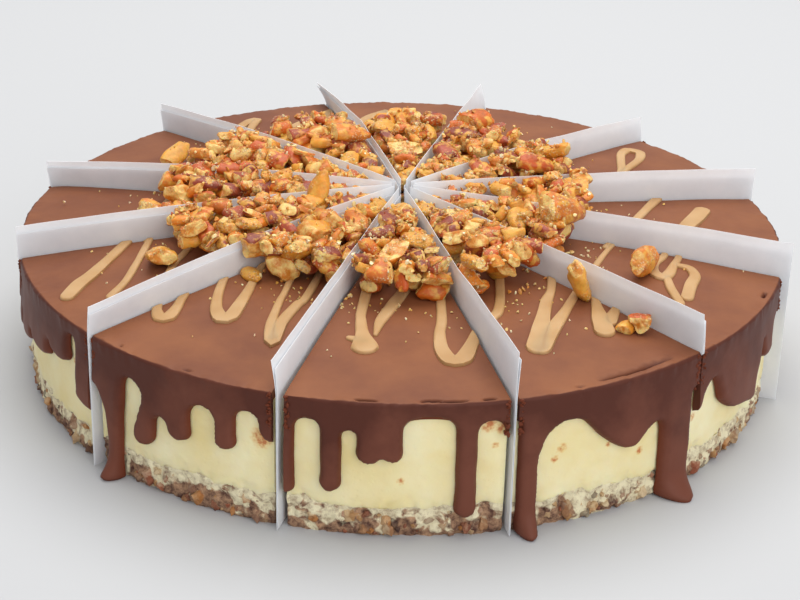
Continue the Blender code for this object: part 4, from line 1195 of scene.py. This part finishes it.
def pecan_shape(name, seed, cuts, fine):
    """One candied piece a unit long: part of a ridged half, with rough broken faces."""
    rng = random.Random(seed)
    bm = bmesh.new()
    skin_layer = bm.faces.layers.float.new("skin")
    rings, segments = (13, 18) if fine else (9, 12)
    wide, tall = rng.uniform(0.21, 0.28), rng.uniform(0.14, 0.19)
    bow = rng.uniform(-0.06, 0.10)
    last = None
    for ring in range(1, rings):
        along = -math.cos(math.pi * ring / rings)
        swell = (1.0 - abs(along) ** 2.3) ** 0.5
        row = []
        for segment in range(segments):
            turn = math.tau * segment / segments
            side, up_share = math.cos(turn), math.sin(turn)
            ridge = 1.0
            for groove, width, depth in GROOVES:
                ridge -= depth * math.exp(-((turn - groove) / width) ** 2)
            wrinkle = 1.0 + 0.10 * noise.noise(Vector((4.5 * along, 2.2 * side + seed, 2.2 * up_share)))
            spot = Vector((0.5 * along, wide * side, tall * up_share + bow * along * along))
            spot.y *= swell * ridge * wrinkle
            spot.z *= swell * ridge * wrinkle
            row.append(bm.verts.new(spot))
        if last:
            for segment in range(segments):
                after = (segment + 1) % segments
                bm.faces.new((last[segment], last[after], row[after], row[segment]))
        else:
            first_row = row
        last = row
    for row, end in ((first_row, -0.5), (last, 0.5)):
        pole = bm.verts.new((end, 0.0, bow))
        for segment in range(segments):
            bm.faces.new((row[segment], row[(segment + 1) % segments], pole))
    for face in bm.faces:
        face[skin_layer] = 1.0
    for cut in range(cuts):
        lengthwise = cut >= 2
        if lengthwise:
            facing = Vector((rng.uniform(-0.5, 0.5), rng.choice((-1, 1)), rng.uniform(-0.9, 0.9)))
        else:
            facing = Vector((1 if cut else -1, rng.uniform(-0.5, 0.5), rng.uniform(-0.5, 0.5)))
        facing.normalize()
        reach = rng.uniform(0.03, 0.12) if lengthwise else rng.uniform(0.10, 0.30)
        found = bmesh.ops.bisect_plane(bm, geom=[*bm.verts, *bm.edges, *bm.faces], dist=1e-5,
                                       plane_co=facing * reach, plane_no=facing, clear_outer=True)
        border = [edge for edge in found["geom_cut"] if isinstance(edge, bmesh.types.BMEdge)]
        filled = bmesh.ops.holes_fill(bm, edges=border)["faces"]
        for face in filled:
            face[skin_layer] = 0.0
        spokes = bmesh.ops.poke(bm, faces=filled)
        inner = [edge for edge in {edge for face in spokes["faces"] for edge in face.edges} if not
                 any(other[skin_layer] > 0.5 for other in edge.link_faces)]
        bmesh.ops.subdivide_edges(bm, edges=inner, cuts=2 if fine else 1, use_grid_fill=True)
        for vert in bm.verts:
            if vert.link_faces and all(face[skin_layer] < 0.5 for face in vert.link_faces):
                if abs(vert.co.dot(facing) - reach) < 1e-4:
                    vert.co += facing * 0.075 * noise.noise(vert.co * 8.0 + Vector((seed, cut, 0.0)))
    bmesh.ops.triangulate(bm, faces=[face for face in bm.faces if len(face.verts) > 3])
    for turn in range(2):
        bmesh.ops.smooth_vert(bm, verts=bm.verts, factor=0.5, use_axis_x=True, use_axis_y=True,
                              use_axis_z=True)
    bm.normal_update()
    for vert in bm.verts:
        vert.co += vert.normal * 0.040 * noise.noise(vert.co * 9.0 + Vector((0.0, seed, 3.0)))
    middle = sum((vert.co for vert in bm.verts), Vector()) / len(bm.verts)
    bmesh.ops.translate(bm, vec=-middle, verts=bm.verts)
    longest = max(max(vert.co[axis] for vert in bm.verts) - min(vert.co[axis] for vert in bm.verts)
                  for axis in range(3))
    bmesh.ops.scale(bm, vec=Vector((1, 1, 1)) / longest, verts=bm.verts)
    bmesh.ops.recalc_face_normals(bm, faces=bm.faces)
    return bpy.data.objects.new(name, mesh_of(bm, name))


pecan_material, tree, shader = start_material(
    "candied_pecan", 0.42, Specular_IOR_Level=0.35, Subsurface_Weight=0.25, Subsurface_Scale=0.0012,
    Coat_Weight=0.15, Coat_Roughness=0.28)
by_place = {"Vector": add_node(tree, "ShaderNodeTexCoord").outputs["Object"]}
tint = add_node(tree, "ShaderNodeAttribute", attribute_name="tint")
skin_mark = add_node(tree, "ShaderNodeAttribute", attribute_name="skin")
mottle = add_node(tree, "ShaderNodeTexNoise", {"Scale": 260.0, "Detail": 5.0, "Roughness": 0.65}, by_place)
depth = add_node(tree, "ShaderNodeMapRange", {
    "From Min": 0.34, "From Max": 0.60, "To Min": 0.74, "To Max": 1.12}, {"Value": mottle})
tinted = add_node(tree, "ShaderNodeVectorMath", links={0: tint, 1: depth}, operation="MULTIPLY")
golden = add_node(tree, "ShaderNodeTexNoise", {"Scale": 340.0, "Detail": 3.0}, by_place)
glaze = add_node(tree, "ShaderNodeMapRange", {"From Min": 0.49, "From Max": 0.62, "To Max": 0.8},
                 {"Value": golden})
skin_colour = add_node(tree, "ShaderNodeMix", {7: linear("#e3ae4c")}, {"Factor": glaze, 6: tinted},
                       data_type="RGBA")
cream = add_node(tree, "ShaderNodeValToRGB", links={"Fac": mottle},
                 stops=((0.40, "#ce7f28"), (0.56, "#ecca7c")))
nut_colour = add_node(tree, "ShaderNodeMix", links={
    "Factor": skin_mark.outputs["Fac"], 6: cream, 7: skin_colour.outputs[2]}, data_type="RGBA")
grains = add_node(tree, "ShaderNodeTexVoronoi", {"Scale": 1300.0}, by_place)
grain_tint = add_node(tree, "ShaderNodeValToRGB", links={"Fac": grains.outputs["Color"]},
                      stops=((0.30, "#c07a48"), (0.62, "#f2dcb0")))
patches = add_node(tree, "ShaderNodeTexNoise", {"Scale": 120.0, "Detail": 2.0}, by_place)
grain = add_node(tree, "ShaderNodeMapRange", {"From Min": 0.48, "From Max": 0.26}, {"Value": grains})
dusty = add_node(tree, "ShaderNodeMapRange", {"From Min": 0.48, "From Max": 0.60, "To Max": 0.6},
                 {"Value": patches})
sugar = add_node(tree, "ShaderNodeMath", links={0: grain, 1: dusty}, operation="MULTIPLY")
sugared = add_node(tree, "ShaderNodeMix", links={
    "Factor": sugar, 6: nut_colour.outputs[2], 7: grain_tint}, data_type="RGBA")
tree.links.new(sugared.outputs[2], shader.inputs["Base Color"])
bumps = add_node(tree, "ShaderNodeMath", {1: 0.6}, {0: sugar, 2: mottle}, operation="MULTIPLY_ADD")
rough = add_node(tree, "ShaderNodeBump", {"Strength": 0.8, "Distance": 0.0008}, {"Height": bumps})
tree.links.new(rough.outputs["Normal"], shader.inputs["Normal"])

pecan_shapes = shape_collection("pecan_shapes", [
    pecan_shape(f"pecan_{index:02d}", 11 * index + 5, 1 if index < HALVES else 2 + index % 3,
                index < FINE_SHAPES)
    for index in range(NUT_SHAPES)])
shape_points = [np.array([tuple(vert.co) for vert in shape.data.vertices]) for shape in pecan_shapes.objects]
bit_shapes = shape_collection("bit_shapes", [
    rough_lump(f"bit_{index}", 5.0 * index, (1.0, 0.8, 0.6), 0.9, 1) for index in range(BIT_SHAPES)])
pecan_tree = scatter_tree("heap_pecans")


def heap_reach(number, angle):
    """How far the heap reaches from the middle of the cake, blended between the slices."""
    place = (angle - cut_angle(number)) / (cut_angle(number + 1) - cut_angle(number)) - 0.5
    other = (number - 1 + (1 if place > 0 else -1)) % 12
    own = HEAP_REACH[(number - 1) % 12]
    return (own + (HEAP_REACH[other] - own) * abs(place)) / 1000.0


class Ground:
    """Heights on a grid over the middle of the cake, that pieces are dropped on."""

    def __init__(self):
        axis = np.arange(-HEAP_SPAN, HEAP_SPAN, HEAP_CELL)
        x, y = np.meshgrid(axis, axis, indexing="ij")
        self.heights = surface_height(np.hypot(x, y))

    def cells(self, points):
        return tuple(np.clip(((points[:, :2] + HEAP_SPAN) / HEAP_CELL).astype(int), 0,
                             self.heights.shape[0] - 1).T)

    def rest(self, points, sink):
        """How far points must rise to stand on the ground, sunk in by a little."""
        return float(np.max(self.heights[self.cells(points)] - points[:, 2])) - sink

    def cover(self, points):
        np.maximum.at(self.heights, self.cells(points), points[:, 2])


def into_slice(points, number, room):
    """The move that brings points clear of both of a slice's papers."""
    move = np.zeros(3)
    for turn in range(3):
        for cut, way in ((cut_angle(number), 1.0), (cut_angle(number + 1), -1.0)):
            across = np.array([-math.sin(math.radians(cut)), math.cos(math.radians(cut)), 0.0]) * way
            lack = room - float(np.min((points + move) @ across))
            if lack > 0:
                move += across * lack
    return move


def drop(ground, number, kind, size, x, y, turn, sink):
    """The points of a piece where it comes to rest."""
    matrix = np.array(Euler(turn).to_matrix())
    points = shape_points[kind] @ matrix.T * size + np.array([x, y, 0.0])
    points += into_slice(points, number, PAPER_ROOM)
    points[:, 2] += ground.rest(points, sink)
    return points


def heap_limit(number, points):
    """How high a piece may stand above the ganache: less in the middle and by the papers."""
    middle = points.mean(0)
    radius = math.hypot(middle[0], middle[1])
    limit = MIDDLE_TOP + (HEAP_TOP - MIDDLE_TOP) * min(1.0, radius / 0.042)
    for cut in (cut_angle(number), cut_angle(number + 1)):
        turn = math.radians(cut)
        if abs(middle[1] * math.cos(turn) - middle[0] * math.sin(turn)) < CLEAR_OF_PAPER:
            limit = min(limit, TOP_BY_PAPER)
    return limit


def spot_of(points, kind, turn, size, colour):
    """A scatter spot from the points of a settled piece."""
    matrix = np.array(Euler(turn).to_matrix())
    middle = points[0] - shape_points[kind][0] @ matrix.T * size
    return (tuple(middle), kind, turn, size, colour)


BIG_NUTS = (             # slice, x and y in millimetres, size in millimetres, turn in degrees
    (3, 69.5, -36.5, 15.0, (80, 10, 60)), (2, 51.0, -54.5, 13.0, (10, 70, 30)),
    (11, -68.5, -38.0, 14.0, (10, 20, 100)), (10, -72.0, -15.0, 15.0, (30, 20, 75)),
    (10, -69.0, 9.0, 15.0, (0, 30, 20)), (9, -73.5, 42.5, 12.0, (20, -20, 60)),
    (1, 12.0, -57.0, 9.5, (30, 10, 5)), (1, -8.0, -54.0, 11.5, (10, 10, 85)),
    (12, -35.0, -42.0, 16.0, (20, 0, 95)), (12, -26.0, -47.0, 10.5, (20, 20, 70)),
    (2, 27.0, -47.0, 13.5, (0, 62, 85)), (2, 34.0, -45.0, 9.0, (10, 40, 60)),
    (2, 21.0, -46.0, 11.0, (0, 50, 95)), (1, -15.5, -50.0, 15.0, (10, 30, 80)),
    (1, 6.0, -47.0, 9.0, (40, 10, 95)), (2, 61.0, -72.0, 5.0, (10, 0, 60)),
    (2, 67.5, -70.5, 6.5, (10, 0, 10)),
)
TOP_NUTS = (             # laid on the finished heap
    (3, 46.0, -23.0, 17.0, (20, 15, 40)), (11, -25.0, -9.8, 11.0, (0, -60, 60)),
    (8, -14.5, 37.0, 13.0, (10, 10, 20)), (5, 47.0, 24.5, 13.0, (10, 20, 150)),
    (6, 23.0, 55.0, 10.0, (10, 0, 40)), (2, 19.0, -24.0, 9.0, (10, 0, 70)),
    (5, 40.5, 15.0, 12.0, (0, 10, 0)), (1, -6.0, -31.0, 9.0, (0, 0, 80)),
    (12, -24.0, -28.0, 11.0, (10, 0, 120)), (10, -50.0, 17.0, 11.0, (0, 10, 20)),
)


def place_nuts(table, sink):
    """Lays the pieces of a table that belong to the slice at hand."""
    for slice_number, x, y, size, turn in table:
        if slice_number != number:
            continue
        kind = rng.randrange(HALVES if size > 10 else FINE_SHAPES)
        turn = [math.radians(value) for value in turn]
        points = drop(ground, number, kind, size / 1000, x / 1000, y / 1000, turn, sink)
        ground.cover(points)
        spots.append(spot_of(points, kind, turn, size / 1000, linear(rng.choice(SKIN_TINTS))))


for number in SLICES:
    rng = random.Random(900 + number)
    ground = Ground()
    first, last = cut_angle(number), cut_angle(number + 1)
    spots = []
    place_nuts(BIG_NUTS, BIG_SINK)
    for index in range(NUTS_PER_SLICE):
        best = None
        large = index < NUTS_PER_SLICE * LARGE_SHARE
        if large:
            size = rng.uniform(*LARGE_SIZES)
        else:
            size = rng.uniform(*SMALL_SIZES) * (1.35 if index % 3 == 0 else 1.0)
        kind = rng.randrange(HALVES - 3, FINE_SHAPES) if large else rng.randrange(HALVES, NUT_SHAPES)
        for attempt in range(TRIES_PER_NUT):
            angle = rng.uniform(first, last)
            reach = heap_reach(number, angle) - 0.42 * size
            spread = rng.random() ** (0.5 if index % 4 else 1.1)
            radius = HEAP_START + 0.5 * size + (reach - HEAP_START - 0.5 * size) * spread
            turn = [rng.uniform(-0.7, 0.7), rng.uniform(-0.7, 0.7), rng.uniform(0, math.tau)]
            if rng.random() < 0.5:
                turn[0] += math.pi
            place = polar(radius, angle, 0.0)
            points = drop(ground, number, kind, size, place.x, place.y, turn, NUT_SINK)
            above = float(np.max(points[:, 2])) - surface_height(radius)
            out = float(np.max(np.hypot(points[:, 0], points[:, 1])))
            if above > heap_limit(number, points) or out > reach + 0.7 * size:
                continue
            score = float(np.mean(points[:, 2])) + rng.uniform(0.0, 0.0015)
            if best is None or score < best[0]:
                best = (score, points, turn)
        if best:
            ground.cover(best[1])
            spots.append(spot_of(best[1], kind, best[2], size, linear(rng.choice(SKIN_TINTS))))
    place_nuts(TOP_NUTS, TOP_SINK)
    nuts = scattered_mesh(pecan_tree, spots, pecan_shapes, pecan_material)
    bits = []
    for index in range(LOOSE_BITS + HEAP_BITS):
        angle = rng.uniform(first + 0.6, last - 0.6)
        loose = index < LOOSE_BITS
        reach = heap_reach(number, angle)
        radius = reach + rng.expovariate(1 / 0.010) if loose else reach * math.sqrt(rng.uniform(0.02, 0.98))
        if radius > 0.106:
            continue
        place = polar(radius, angle, 0.0)
        size = rng.uniform(0.0005, 0.0011) if loose else rng.uniform(0.0005, 0.0019)
        point = np.array([[place.x, place.y, 0.0]])
        point += into_slice(point, number, PAPER_ROOM + size / 2)
        height = float(ground.heights[ground.cells(point)][0]) + 0.2 * size
        colour = rng.choice(BIT_TINTS[:3] if loose else BIT_TINTS)
        bits.append(((point[0][0], point[0][1], height), rng.randrange(BIT_SHAPES),
                     [rng.uniform(0, math.tau) for axis in range(3)], size, linear(colour)))
    crumbs = scattered_mesh(pecan_tree, bits, bit_shapes, pecan_material)
    mark(crumbs, "skin", np.ones(len(crumbs.polygons)), "FACE")
    mesh = join_meshes((nuts, crumbs), 55)
    new_piece(f"pecan_heap_{number:02d}", mesh, pecan_material, "pecans", f"pecans_{number:02d}")
